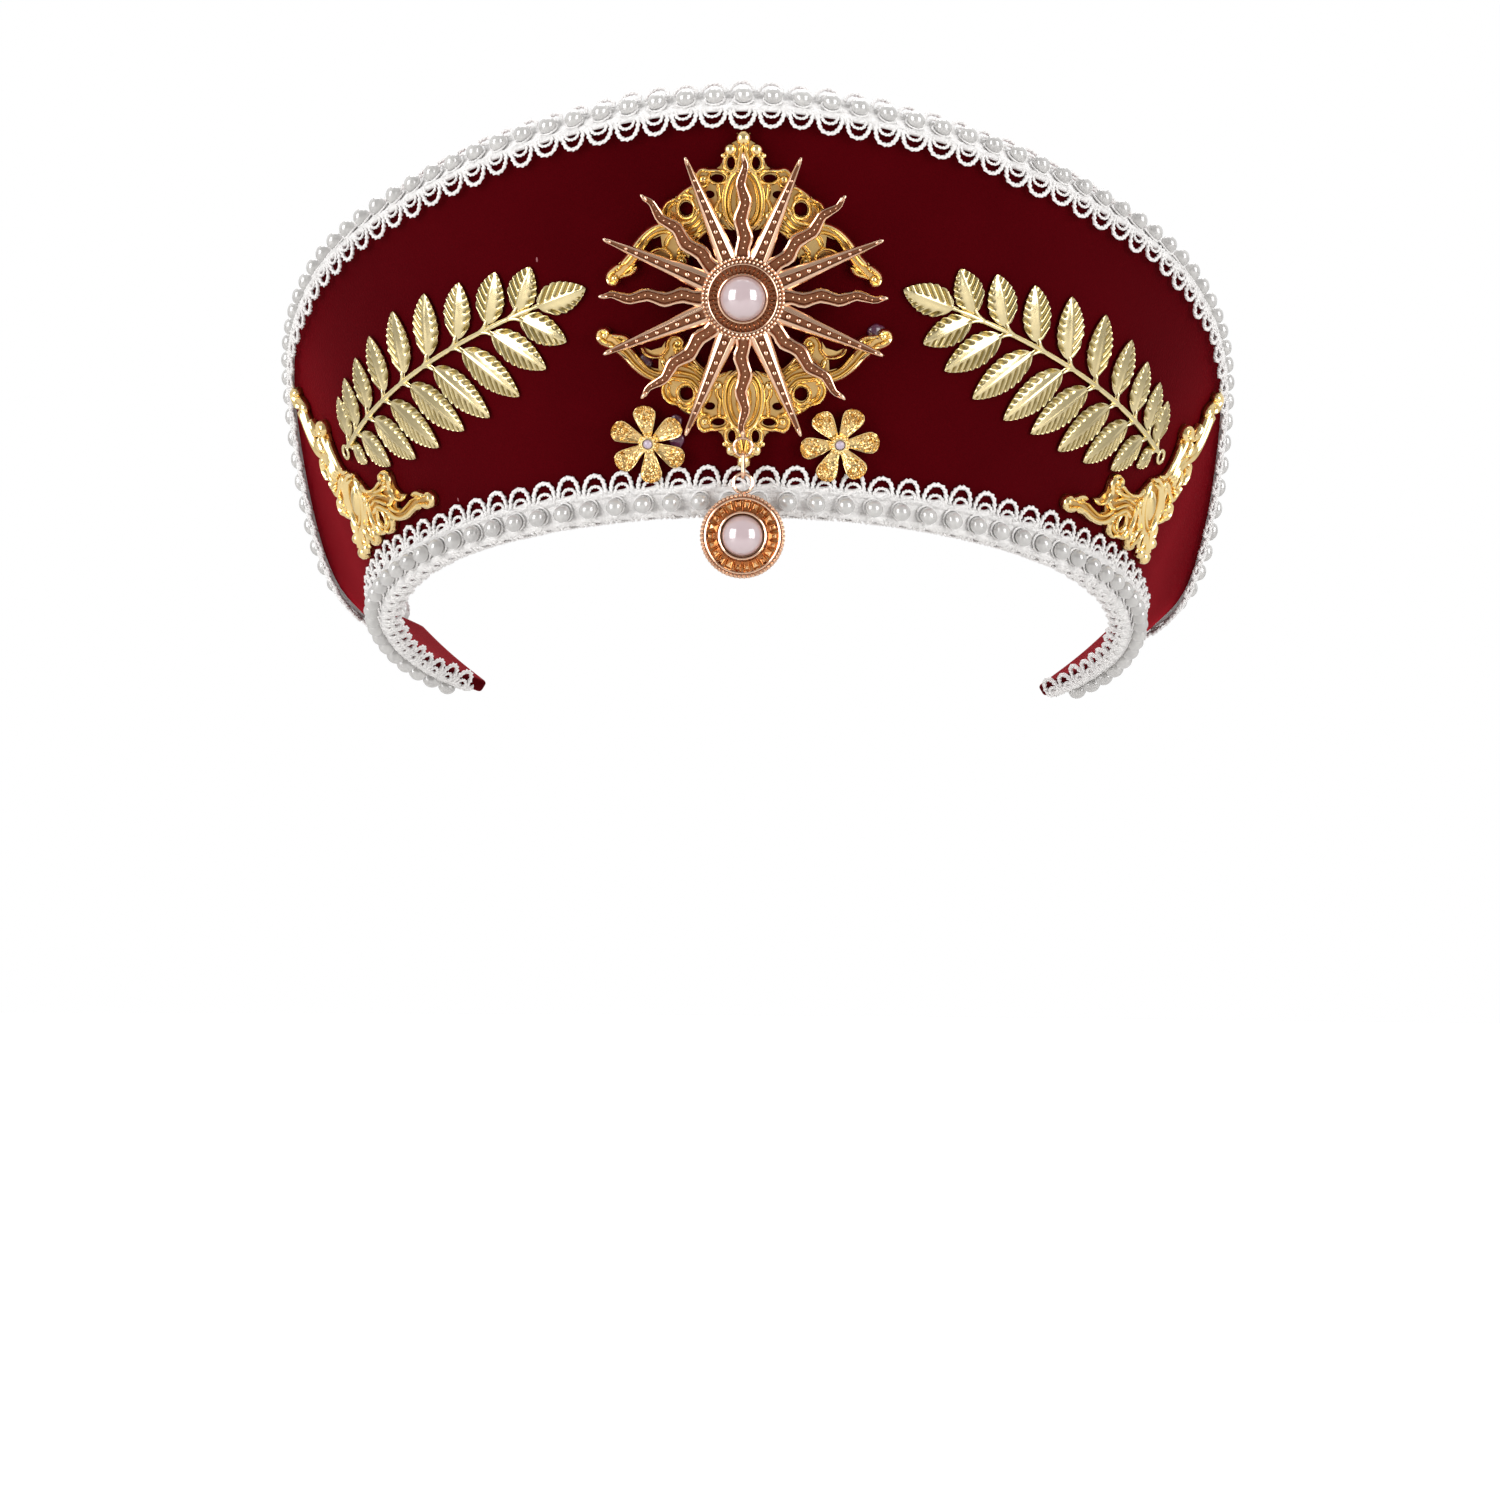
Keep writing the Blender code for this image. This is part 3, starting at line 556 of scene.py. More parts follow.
def laid_length(repeat, lay, heights_of, ease=0.0):
    """Lay repeat after repeat along an edge, each a little uneven, and join them into one length."""
    unit = bpy.data.meshes.new("repeat")
    repeat.to_mesh(unit)
    flat = coordinates(repeat)
    repeat.free()
    travel, angles, middles = pearl_places(heights_of)
    length = bmesh.new()
    for k, middle in enumerate(middles):
        before = len(length.verts)
        length.from_mesh(unit)
        length.verts.ensure_lookup_table()
        uneven = [1 + ease * noise.noise(Vector((k * 1.7, axis * 5.3, 0.4))) for axis in range(3)]
        for v, place in zip(length.verts[before:], lay(flat * uneven, travel, angles, middle) * MM):
            v.co = place
    bpy.data.meshes.remove(unit)
    return length


def thread_look(name, winding):
    """White viscose thread: soft shine, fine strands, and dust-grey shade between them."""
    look, tree, shader = new_look(name, Roughness=0.55, Sheen_Weight=0.25, Sheen_Roughness=0.4)
    tint = blend(tree, mottle(tree, 420.0, Detail=3.0), *THREAD_TINTS)
    tree.links.new(tint, shader.inputs["Base Color"])
    if winding:
        raise_grain(tree, shader, mottle(tree, 1500.0, Detail=3.0, Distortion=1.2), 0.8, 0.0004)
    else:
        raise_grain(tree, shader, mottle(tree, 2600.0), 0.8, 0.00008)
    return look


def pearl_look(name, tints, centre=None, radius=1.0):
    """Imitation pearl: a bright lacquer over a milky body, clouded at random; given a centre, it turns deeper
    and warmer away from it round the girdle, a painted reflection of the gold about it.
    """
    look, tree, shader = new_look(name, Roughness=0.3, Coat_Weight=1.0, Coat_Roughness=0.07, Coat_IOR=2.3)
    cloud = mottle(tree, 260.0)
    if centre is None:
        share = spread(tree, cloud, 0.35, 0.65)
    else:
        # Painted reflection: deeper and warmer with distance from the pearl's front point, round its girdle.
        place = node(tree, "TexCoord").outputs["Object"]
        offset = node(tree, "VectorMath", ((0, place), (1, centre)), operation="DISTANCE").outputs["Value"]
        share = spread(tree, offset, radius * 0.75, radius * 1.02, interpolation_type="SMOOTHSTEP")
    tree.links.new(blend(tree, share, *tints), shader.inputs["Base Color"])
    raise_grain(tree, shader, cloud, 0.06, 0.0001)
    return look


def pearl_trim(side, lay, heights_of, pearl_height, shift, node_name):
    """One edge's trim: its loops, its gimp and its pearls."""
    lace = laid_length(lace_repeat(shift), lay, heights_of, ease=0.12)
    finish_piece(side + "_lace_loops", lace, loop_thread, "crown")
    gimp = gimp_length(lay, heights_of)
    finish_piece(side + "_gimp", gimp, gimp_thread, "crown", replaces=[node_name])
    ball = bmesh.new()
    seat = Matrix.Translation((0, 0, pearl_height))
    bmesh.ops.create_uvsphere(ball, u_segments=20, v_segments=12, radius=PEARL_RADIUS, matrix=seat)
    pearls = laid_length(ball, lay, heights_of)
    finish_piece(side + "_pearls", pearls, white_pearl, "crown")


loop_thread = thread_look("twisted white cord", winding=False)
gimp_thread = thread_look("wound white gimp", winding=True)
white_pearl = pearl_look("white pearl", WHITE_PEARL_TINTS)
pearl_trim(
    "lower", lay_on_face, lambda angles: 0 * angles + LOWER_PEARL_HEIGHT, 2.25, 1.8, "lower_pearl_trim"
)
pearl_trim("upper", fold_over_edge, band_height, 1.95, -0.4, "upper_pearl_trim")


# Filigree crests: yellow gold castings with a finial, a ribbed cartouche and two scrolled arms,
# pierced between their scrolls. Each is bent to the velvet and glued at its back.
CREST_ROWS = (
    ("crest_top", 0.0, 69.9, 0.0),
    ("crest_bottom", 0.0, 26.0, 180.0),
    ("side_crest_left", -72.2, 23.2, 137.0),
    ("side_crest_right", 72.2, 23.2, -137.0),
)
PLATE_THICKNESS = 0.7
PLATE_LIFT = 0.45
# Shares of the deep tint: painted shade over a crest's plate, and the most that random wear adds
PLATE_PAINTED_SHADE = 0.55
WORN_SHADE = 0.22
# Bright gold, and the deep tint for painted shade in marked hollows and for wear
YELLOW_GOLD_SHADE_AND_WEAR_TINTS = (1.0, 0.79, 0.39), (0.52, 0.26, 0.06)
CREST_OUTLINE = (
    (0.0, 15.8),
    (1.4, 15.2),
    (1.7, 13.4),
    (4.0, 12.2),
    (4.2, 10.4),
    (5.0, 8.0),
    (6.2, 7.2),
    (9.6, 7.1),
    (10.4, 4.6),
    (12.8, 3.2),
    (15.2, 1.2),
    (17.4, -1.2),
    (17.8, -3.8),
    (21.4, -5.2),
    (24.4, -7.8),
    (26.6, -10.8),
    (31.2, -14.4),
    (30.6, -16.9),
    (28.6, -15.7),
    (26.0, -14.4),
    (23.8, -11.4),
    (21.4, -8.0),
    (18.6, -7.0),
    (18.4, -9.4),
    (21.6, -10.8),
    (21.9, -12.4),
    (20.0, -11.4),
    (17.6, -12.0),
    (16.0, -14.4),
    (13.6, -14.6),
    (12.0, -11.2),
    (10.0, -7.6),
    (5.6, -5.2),
    (3.4, -6.0),
    (0.0, -7.0),
)
CARTOUCHE = (1.9, 4.3, 1.3)
RIB_SWELL = 1.12
RIB_RELIEF = 1.3
# Openings in one half: across, up, half width, half height
CREST_OPENINGS = ((2.7, 8.6, 0.9, 1.4), (5.7, 5.3, 1.5, 0.9), (7.5, 1.7, 1.2, 0.9), (12.7, -1.3, 1.5, 1.6))
# Rounded ribs of one half: the points of each, half width and height at its two ends
CREST_RIBS = (
    (((0.5, 7.6), (2.6, 5.9), (3.9, 3.0), (4.3, 0.0), (3.9, -3.0), (2.7, -5.2), (0.7, -6.6)), (0.55, 0.6),
      (0.9, 0.9)),
    (((0.5, 6.4), (2.1, 4.3), (2.9, 1.8), (3.1, -0.6), (2.7, -3.0), (1.2, -5.2)), (0.3, 0.5), (0.9, 1.1)),
    (((0.5, 13.2), (0.6, 11.2), (0.95, 9.2), (1.3, 7.4), (2.2, 6.1)), (0.6, 0.5), (1.3, 0.8)),
    (((9.0, 7.2), (7.4, 7.0), (6.0, 7.0), (4.3, 6.5), (3.5, 5.6), (4.0, 4.5), (5.2, 4.1), (6.6, 4.3),
      (7.6, 5.3), (7.2, 6.4)), (0.5, 0.4), (0.9, 0.8)),
    (((7.6, 6.9), (9.0, 7.3), (10.1, 6.3), (10.3, 4.8), (9.4, 3.6), (8.1, 3.7), (7.7, 4.8), (8.5, 5.4)),
      (0.6, 0.35), (1.1, 1.0)),
    (((9.7, 3.5), (9.3, 1.8), (8.3, 0.5), (7.5, -1.0), (6.9, -3.2)), (0.55, 0.5), (1.0, 0.9)),
    (((5.4, 3.9), (5.5, 2.4), (5.3, 0.6), (5.9, -0.9), (5.8, -2.6)), (0.45, 0.5), (0.8, 0.9)),
    (((9.9, 3.4), (11.4, 3.4), (13.2, 2.4), (14.8, 1.0)), (0.5, 0.45), (0.8, 0.9)),
    (((11.0, 0.9), (12.4, 2.0), (13.6, 1.9), (14.4, 0.9)), (0.5, 0.4), (1.1, 0.9)),
    (((15.0, 1.0), (16.7, 0.3), (17.8, -1.4), (17.8, -3.2), (16.8, -4.2), (15.9, -3.6)), (0.5, 0.4),
      (1.1, 0.9)),
    (((14.8, 0.2), (16.0, -0.6), (16.6, -1.9), (16.5, -3.2)), (0.4, 0.35), (1.2, 1.0)),
    (((9.6, -1.0), (11.5, -3.9), (14.0, -4.6), (17.0, -4.9)), (0.6, 0.5), (1.1, 1.0)),
    (((8.6, -2.6), (10.6, -5.0), (13.2, -6.0), (16.0, -6.4)), (0.5, 0.4), (1.0, 1.0)),
    (((7.6, -3.8), (9.8, -6.0), (12.0, -7.4), (14.8, -8.2)), (0.5, 0.4), (1.0, 0.9)),
    (((15.4, -4.8), (18.4, -4.6), (21.3, -5.8), (23.9, -8.2), (26.0, -11.0), (28.2, -13.0)), (0.6, 0.8),
      (1.1, 1.3)),
    (((28.2, -13.0), (30.3, -14.0), (31.3, -15.3), (30.9, -16.7), (29.6, -16.9), (29.0, -15.9)),
      (0.8, 0.5), (1.3, 1.1)),
    (((15.8, -6.2), (18.6, -6.3), (21.0, -7.5), (23.0, -10.0), (25.0, -12.8), (28.0, -15.0)), (0.45, 0.4),
      (0.9, 0.9)),
    (((24.4, -13.6), (25.8, -14.9), (27.4, -15.3), (28.6, -15.6)), (0.6, 0.5), (1.0, 0.9)),
    (((15.4, -6.4), (17.0, -7.8), (17.6, -9.6)), (0.6, 0.6), (1.0, 1.0)),
    (((22.0, -12.2), (21.0, -10.7), (19.3, -9.9), (17.6, -10.1), (16.5, -11.4), (16.3, -13.0),
      (15.2, -14.4), (13.6, -14.2), (12.8, -12.9), (13.5, -11.6), (14.7, -11.9), (14.9, -12.9)),
      (0.5, 0.4), (1.0, 1.2)),
    (((14.9, -11.2), (13.4, -9.6), (11.6, -8.0), (9.4, -6.6)), (0.6, 0.5), (1.0, 0.9)),
    (((12.4, -11.0), (10.6, -8.6), (8.6, -6.6), (5.6, -5.2), (3.6, -6.0)), (0.5, 0.5), (0.8, 0.8)),
)
# Rings around the openings of one half: the points of each, and half width
CREST_RINGS = (
    (((1.45, 8.6), (1.9, 10.1), (3.0, 10.5), (4.0, 9.7), (4.3, 8.4), (3.8, 7.1), (2.7, 6.7), (1.8, 7.2)), 0.5),
    (((10.9, -0.7), (11.8, 0.7), (13.4, 0.8), (14.5, -0.4), (14.6, -1.9), (13.5, -3.2), (11.9, -3.2),
      (11.0, -2.2)), 0.45),
)
# Balls of one half: across, up, radius
CREST_BALLS = (
    (2.8, 11.6, 1.45), (8.7, 5.1, 0.9), (5.5, -3.0, 1.0), (4.4, 10.3, 0.6), (14.1, -12.8, 0.8),
    (29.9, -15.7, 0.9), (25.9, -13.6, 0.7), (11.2, 3.5, 0.6),
)


def rib(bm, points, widths, heights, lift=PLATE_THICKNESS, steps=3, closed=False):
    """A rounded rib of a casting, half sunk in its plate, tapered from end to end."""
    rows = path_frames(curve_through(points, steps, closed))
    up = Vector((0, 0, 1))
    stations = []
    last = len(rows) - 1
    for k, (point, ahead, side) in enumerate(rows):
        share = k / last
        width = widths[0] * (1 - share) + widths[1] * share
        height = heights[0] * (1 - share) + heights[1] * share
        end = 0.55 if not closed and k in (0, last) else 1.0
        stations.append(station(point + up * lift, side, up, ahead, width * end, height * end))
    if not closed:
        for row, way, place in ((rows[0], -1, 0), (rows[-1], 1, len(stations))):
            point, ahead, side = row
            width = widths[0] if way < 0 else widths[1]
            end_point = point + ahead * way * width * 0.5 + up * lift
            stations.insert(place, station(end_point, side, up, ahead, width * 0.12, width * 0.12))
    section = round_section(8)
    # Painted shade: the rib's lower sides, near the plate, are marked darker.
    drawn(bm, section, stations, [min(1.0, max(0.0, 0.3 - y)) for _, y in section])


def ball(bm, x, y, radius, lift=PLATE_THICKNESS, flatten=1.0, subdivisions=2):
    place = Matrix.Translation((x, y, lift)) @ Matrix.Diagonal((1, 1, flatten, 1))
    return bmesh.ops.create_icosphere(bm, subdivisions=subdivisions, radius=radius, matrix=place)["verts"]


def cut_plate(bm, outline, openings, thickness):
    """A flat plate cut to an outline, with its openings, marked all over with painted shade."""
    edges = []
    for loop in [outline, *openings]:
        corners = [bm.verts.new((x, y, 0.0)) for x, y in loop]
        # Painted shade over the whole plate, so it lies darker than its ribs.
        mark_painted_shade(bm, corners, [PLATE_PAINTED_SHADE] * len(corners))
        edges += [bm.edges.new(pair) for pair in zip(corners, corners[1:] + corners[:1])]
    plate = bmesh.ops.triangle_fill(bm, edges=edges, use_beauty=True)["geom"]
    faces = [part for part in plate if isinstance(part, bmesh.types.BMFace)]
    top = bmesh.ops.extrude_face_region(bm, geom=faces, use_keep_orig=True)["geom"]
    raised = [part for part in top if isinstance(part, bmesh.types.BMVert)]
    bmesh.ops.translate(bm, verts=raised, vec=(0, 0, thickness))


def oval(x, y, half_width, half_height, sides):
    turns = [2 * math.pi * (k + 0.5) / sides for k in range(sides)]
    return [(x + half_width * math.cos(a), y + half_height * math.sin(a)) for a in turns]


def bend_to_band(bm, angle, height, turn=0.0, lift=PLATE_LIFT):
    """Turn a flat ornament, bend it to the velvet at its place, and bring it to metres."""
    bmesh.ops.rotate(bm, verts=bm.verts, matrix=Matrix.Rotation(math.radians(turn), 3, "Z"))
    flat = coordinates(bm)
    here = np.array([angle]), np.array([height])
    along, up, _ = (axis[0] for axis in band_axes(*here))
    per_degree = (band_point(here[0] + 0.5, here[1]) - band_point(here[0] - 0.5, here[1]))[0]
    per_mm = (band_point(here[0], here[1] + 1) - band_point(here[0], here[1] - 1))[0] / 2
    scales = np.array(((per_degree @ along, per_mm @ along), (per_degree @ up, per_mm @ up)))
    shift = flat[:, :2] @ np.linalg.inv(scales).T
    angles, heights = angle + shift[:, 0], height + shift[:, 1]
    out = band_axes(angles, heights)[2]
    set_coordinates(bm, (band_point(angles, heights) + out * (lift + flat[:, 2:3])) * MM)


def cast_relief():
    """Group: the painted shade marked in a casting's hollows, and its fine pits."""
    group = bpy.data.node_groups.new("cast relief", "ShaderNodeTree")
    interface = group.interface
    interface.new_socket("Pit Scale", in_out="INPUT", socket_type="NodeSocketFloat")
    interface.new_socket("Painted Shade", in_out="OUTPUT", socket_type="NodeSocketFloat")
    interface.new_socket("Pits", in_out="OUTPUT", socket_type="NodeSocketFloat")
    outside = group.nodes.new("NodeGroupInput")
    result = group.nodes.new("NodeGroupOutput")
    shade_mark = node(group, "Attribute", attribute_name="painted_shade").outputs["Fac"]
    group.links.new(shade_mark, result.inputs["Painted Shade"])
    group.links.new(mottle(group, outside.outputs["Pit Scale"], Detail=3.0), result.inputs["Pits"])
    return group


def gold_look(name, tints, roughness, pit_depth, pit_scale=700.0):
    """Plated casting: bright on its raised parts, deeper in tone by painted shade in its marked hollows, where
    it is also duller.
    """
    look, tree, shader = new_look(name, Metallic=1.0)
    relief = tree.nodes.new("ShaderNodeGroup")
    relief.node_tree = relief_group
    relief.inputs["Pit Scale"].default_value = pit_scale
    worn = spread(tree, mottle(tree, 90.0), 0.3, 0.7, 0.0, WORN_SHADE)
    shade_and_wear = ((0, relief.outputs["Painted Shade"]), (1, worn))
    painted_shade_and_wear = node(tree, "Math", shade_and_wear, operation="ADD", use_clamp=True).outputs["Value"]
    # Painted shade and random wear both pull the colour toward the deep tint.
    tree.links.new(blend(tree, painted_shade_and_wear, *tints), shader.inputs["Base Color"])
    rough = spread(tree, painted_shade_and_wear, 0.0, 1.0, roughness, roughness + 0.22)
    tree.links.new(rough, shader.inputs["Roughness"])
    raise_grain(tree, shader, relief.outputs["Pits"], 0.35, pit_depth)
    return look


def casting_mesh():
    """An empty mesh whose vertices can be marked with painted shade."""
    bm = bmesh.new()
    bm.verts.layers.float.new("painted_shade")
    return bm


def kept_mesh(bm, name):
    mesh = bpy.data.meshes.new(name)
    bm.to_mesh(mesh)
    bm.free()
    return mesh


def crest_casting():
    bm = casting_mesh()
    for points, widths, heights in CREST_RIBS:
        rib(bm, points, [RIB_SWELL * w for w in widths], [RIB_RELIEF * h for h in heights])
    for points, width in CREST_RINGS:
        rib(bm, points, (width, width), (0.85, 0.85), steps=2, closed=True)
    for x, y, radius in CREST_BALLS:
        ball(bm, x, y, radius, lift=PLATE_THICKNESS + radius * 0.2)
    casting = bm.verts[:] + bm.edges[:] + bm.faces[:]
    bmesh.ops.mirror(bm, geom=casting, matrix=Matrix(), merge_dist=0.0001, axis="X")
    ball(bm, 0.0, 14.1, 1.75, lift=0.9)
    cartouche = ball(bm, 0.0, 0.2, 1.0, lift=0.7)
    bmesh.ops.scale(bm, verts=cartouche, vec=CARTOUCHE, space=Matrix.Translation((0, -0.2, -0.7)))
    right = list(CREST_OUTLINE)
    outline = right + [(-x, y) for x, y in reversed(right[1:-1])]
    openings = []
    for x, y, half_width, half_height in CREST_OPENINGS:
        openings += [oval(side * x, y, half_width, half_height, 12) for side in (-1, 1)]
    cut_plate(bm, outline, openings, PLATE_THICKNESS)
    return kept_mesh(bm, "crest")


relief_group = cast_relief()
yellow_gold = gold_look("yellow gold", YELLOW_GOLD_SHADE_AND_WEAR_TINTS, 0.13, pit_depth=0.00001)
casting = crest_casting()
for name, angle, height, turn in CREST_ROWS:
    bm = bmesh.new()
    bm.from_mesh(casting)
    bend_to_band(bm, angle, height, turn)
    finish_piece("cast_" + name, bm, yellow_gold, "crown", sharp=50.0, replaces=[name])
bpy.data.meshes.remove(casting)


# Leaf branches: struck from thin pale gold, the leaves embossed with slanting veins and a rib,
# on a half-round stem that starts at a small eye. They are bent to the velvet, one each side.
BRANCH_ANGLE = -46.6
BRANCH_HEIGHT = 42.8
BRANCH_SLOPE = 11.4
EYE_PLACE = -44.0
STEM_END = 36.0
TERMINAL_LEAF = 12.7
# Leaves along the stem: place, upper length and angle, lower length and angle
LEAF_ROWS = (
    (-39.5, 11.0, 68.0, 7.5, -66.0),
    (-33.5, 12.5, 67.0, 14.0, -62.0),
    (-25.5, 13.5, 69.0, 18.0, -60.0),
    (-16.5, 14.5, 72.0, 19.5, -61.0),
    (-7.5, 16.0, 66.0, 20.0, -59.0),
    (2.0, 16.0, 59.0, 20.0, -61.0),
    (12.0, 14.5, 55.0, 19.0, -59.0),
    (21.5, 13.5, 50.0, 16.5, -53.0),
    (30.0, 12.0, 44.0, 13.0, -46.0),
)
LEAF_CELLS = (68, 26)
LEAF_SHEET = 0.35
VEIN_PITCH = 1.95
VEIN_DEPTH = 0.62
# Bright gold, and the deep tint for painted shade in marked hollows and for wear
PALE_GOLD_SHADE_AND_WEAR_TINTS = (0.95, 0.81, 0.47), (0.25, 0.18, 0.05)


def leaf(bm, root, length, turn, lift):
    """One leaf: a sheet drawn to a point, with pressed veins that are long on one side of its
    middle and short notches on the other, and a toothed edge where they end."""
    long_way, across = LEAF_CELLS
    made = bmesh.ops.create_grid(bm, x_segments=long_way, y_segments=across, size=1.0)["verts"]
    widest = min(0.08 * length + 2.3, 0.31 * length)
    long_side = 1 if turn >= 0 else -1
    for v in made:
        s, t = (v.co.x + 1) / 2, v.co.y
        reach = s * length
        body = math.sin(math.pi * min(1.0, (max(s - 0.1, 0.0) / 0.9)) ** 0.85) ** 0.75
        half = 0.42 * (1 - s) + widest * body + 0.05
        slant = reach - abs(t) * half
        tooth = 0.5 + 0.5 * math.cos(2 * math.pi * (slant + 0.5) / VEIN_PITCH)
        half *= 1.0 - 0.09 * (1 - tooth) * body
        vein = (0.5 + 0.5 * math.cos(2 * math.pi * slant / VEIN_PITCH)) ** 1.4
        begin = 0.12 if t * long_side > 0 else 0.55
        blade = min(1.0, max(0.0, abs(t) - begin) * 8) * min(1.0, 0.35 + (1 - abs(t)) * 6)
        groove = -VEIN_DEPTH * vein * blade * min(1.0, body * 1.4)
        midrib = 0.3 * math.exp(-((t * half / 0.3) ** 2)) * (1 - s)
        cup = 0.5 * (1 - t * t) * body + 0.3 * body * s
        v.co = (reach, t * half, lift + 0.55 + groove + midrib + cup)
        # Painted shade: the pressed veins are marked darker, and the whole leaf a little.
        mark_painted_shade(bm, (v,), (0.12 + 0.85 * min(1.0, vein * blade),))
    faces = list({face for v in made for face in v.link_faces})
    under = bmesh.ops.extrude_face_region(bm, geom=faces, use_keep_orig=True)["geom"]
    lower = [part for part in under if isinstance(part, bmesh.types.BMVert)]
    bmesh.ops.translate(bm, verts=lower, vec=(0, 0, -LEAF_SHEET))
    bmesh.ops.rotate(bm, verts=made + lower, matrix=Matrix.Rotation(turn, 3, "Z"))
    bmesh.ops.translate(bm, verts=made + lower, vec=(*root, 0))


def leaf_branch():
    bm = casting_mesh()
    leaf(bm, (STEM_END - 1.0, 0.0), TERMINAL_LEAF + 1.0, 0.0, 0.1)
    for k, (place, upper_length, upper_turn, lower_length, lower_turn) in enumerate(LEAF_ROWS):
        lift = 0.08 * (k % 2)
        leaf(bm, (place, 0.2), upper_length, math.radians(upper_turn), lift)
        leaf(bm, (place, -0.2), lower_length, math.radians(lower_turn), lift)
    for row in LEAF_ROWS:
        for length, turn, side in ((row[1], row[2], 1), (row[3], row[4], -1)):
            a = math.radians(turn)
            foot = (row[0] - 2.6, 0.0)
            bend = (row[0] - 0.4, 0.5 * side)
            tip = (row[0] + 2.6 * math.cos(a), 2.6 * math.sin(a))
            rib(bm, (foot, bend, tip), (0.5, 0.4), (0.6, 0.6), lift=0.75, steps=3)
    stem = ((EYE_PLACE + 2.0, 0.0), (-20.0, 0.0), (0.0, 0.0), (STEM_END + 1.0, 0.0))
    rib(bm, stem, (0.75, 0.6), (0.75, 0.7), lift=0.6, steps=8)
    rib(bm, oval(EYE_PLACE, 0.0, 1.5, 1.5, 8), (0.5, 0.5), (0.5, 0.5), lift=0.6, steps=2, closed=True)
    bmesh.ops.rotate(bm, verts=bm.verts, matrix=Matrix.Rotation(math.radians(BRANCH_SLOPE), 3, "Z"))
    return kept_mesh(bm, "branch")


pale_gold = gold_look("pale gold", PALE_GOLD_SHADE_AND_WEAR_TINTS, 0.13, pit_depth=0.00001, pit_scale=500.0)
branch = leaf_branch()
for side, way in (("left", 1), ("right", -1)):
    bm = bmesh.new()
    bm.from_mesh(branch)
    bmesh.ops.scale(bm, verts=bm.verts, vec=(way, 1, 1))
    bend_to_band(bm, way * BRANCH_ANGLE, BRANCH_HEIGHT, lift=0.3)
    finish_piece(
        "struck_branch_" + side, bm, pale_gold, "crown", sharp=60.0,
        replaces=["leaf_branch_" + side],
    )
bpy.data.meshes.remove(branch)


# Flowers: six dished petals in yellow gold with a hammered face and a smooth rim, about a small
# beaded cup that holds a lilac stone. One is glued over the lower lace on each side.
FLOWER_ROWS = (("left", -13.1, 16.6, 30.0), ("right", 13.1, 16.6, 10.0))
PETAL_REACH = 8.8
PETAL_ROOT = 1.5
PETAL_SHEET = 0.4
HAMMER_DEPTH = 0.55
# Petal: share of its reach, half width
PETAL_WIDTHS = (
    (0.0, 0.85), (0.15, 1.15), (0.35, 1.7), (0.55, 2.2), (0.7, 2.45), (0.8, 2.4), (0.9, 1.95), (0.96, 1.35),
    (1.0, 0.3),
)
# Cup about the stone: radius, height
CUP_PROFILE = ((0, 0.2), (2.3, 0.2), (2.4, 0.9), (2.0, 1.5), (1.6, 2.3), (1.2, 2.35), (1.0, 1.6), (0, 1.6))
LILAC_TINTS = (0.34, 0.26, 0.34), (0.62, 0.54, 0.62)


def petal(bm, turn):
    made = bmesh.ops.create_grid(bm, x_segments=36, y_segments=24, size=1.0)["verts"]
    shares, widths = zip(*PETAL_WIDTHS)
    for v in made:
        s, t = (v.co.x + 1) / 2, v.co.y
        s = 1 - (1 - s) ** 1.25
        half = float(np.interp(s, shares, widths))
        edge = max(abs(t), (s - 0.82) / 0.18)
        rim = 0.28 * math.exp(-(((edge - 0.95) / 0.07) ** 2))
        face = max(0.0, min(1.0, (0.9 - edge) * 8)) * min(1.0, s * 1.6)
        x = PETAL_ROOT + (PETAL_REACH - PETAL_ROOT) * s
        grain = noise.noise(Vector((x * 2.2 + turn * 7, t * half * 2.2, turn * 3)))
        hammered = HAMMER_DEPTH * face * (abs(grain) * 2 - 0.6)
        # Painted shade: the whole petal a little darker, and the hammer dents darker still.
        mark_painted_shade(bm, (v,), (0.28 + face * max(0.0, 0.6 - 4 * abs(grain)),))
        dish = 1.35 * s * s + 0.55 * t * t * math.sin(math.pi * min(s * 1.05, 1.0))
        v.co = (x, t * half, 0.75 + dish + rim + hammered)
    faces = list({face for v in made for face in v.link_faces})
    under = bmesh.ops.extrude_face_region(bm, geom=faces, use_keep_orig=True)["geom"]
    lower = [part for part in under if isinstance(part, bmesh.types.BMVert)]
    bmesh.ops.translate(bm, verts=lower, vec=(0, 0, -PETAL_SHEET))
    bmesh.ops.rotate(bm, verts=made + lower, matrix=Matrix.Rotation(turn, 3, "Z"))


def turned_form(bm, profile, steps, depth=0.0):
    """A round form turned about the local Z axis from a profile of radius and height, all of it marked with one
    share of painted shade.
    """
    chain = [bm.verts.new((radius, 0.0, height)) for radius, height in profile]
    mark_painted_shade(bm, chain, [depth] * len(chain))
    full_turn(bm, chain, [bm.edges.new(pair) for pair in zip(chain, chain[1:])], steps)


def lilac_look():
    look, tree, shader = new_look("lilac stone", Roughness=0.25, Coat_Weight=0.6)
    tree.links.new(blend(tree, mottle(tree, 900.0), *LILAC_TINTS), shader.inputs["Base Color"])
    return look


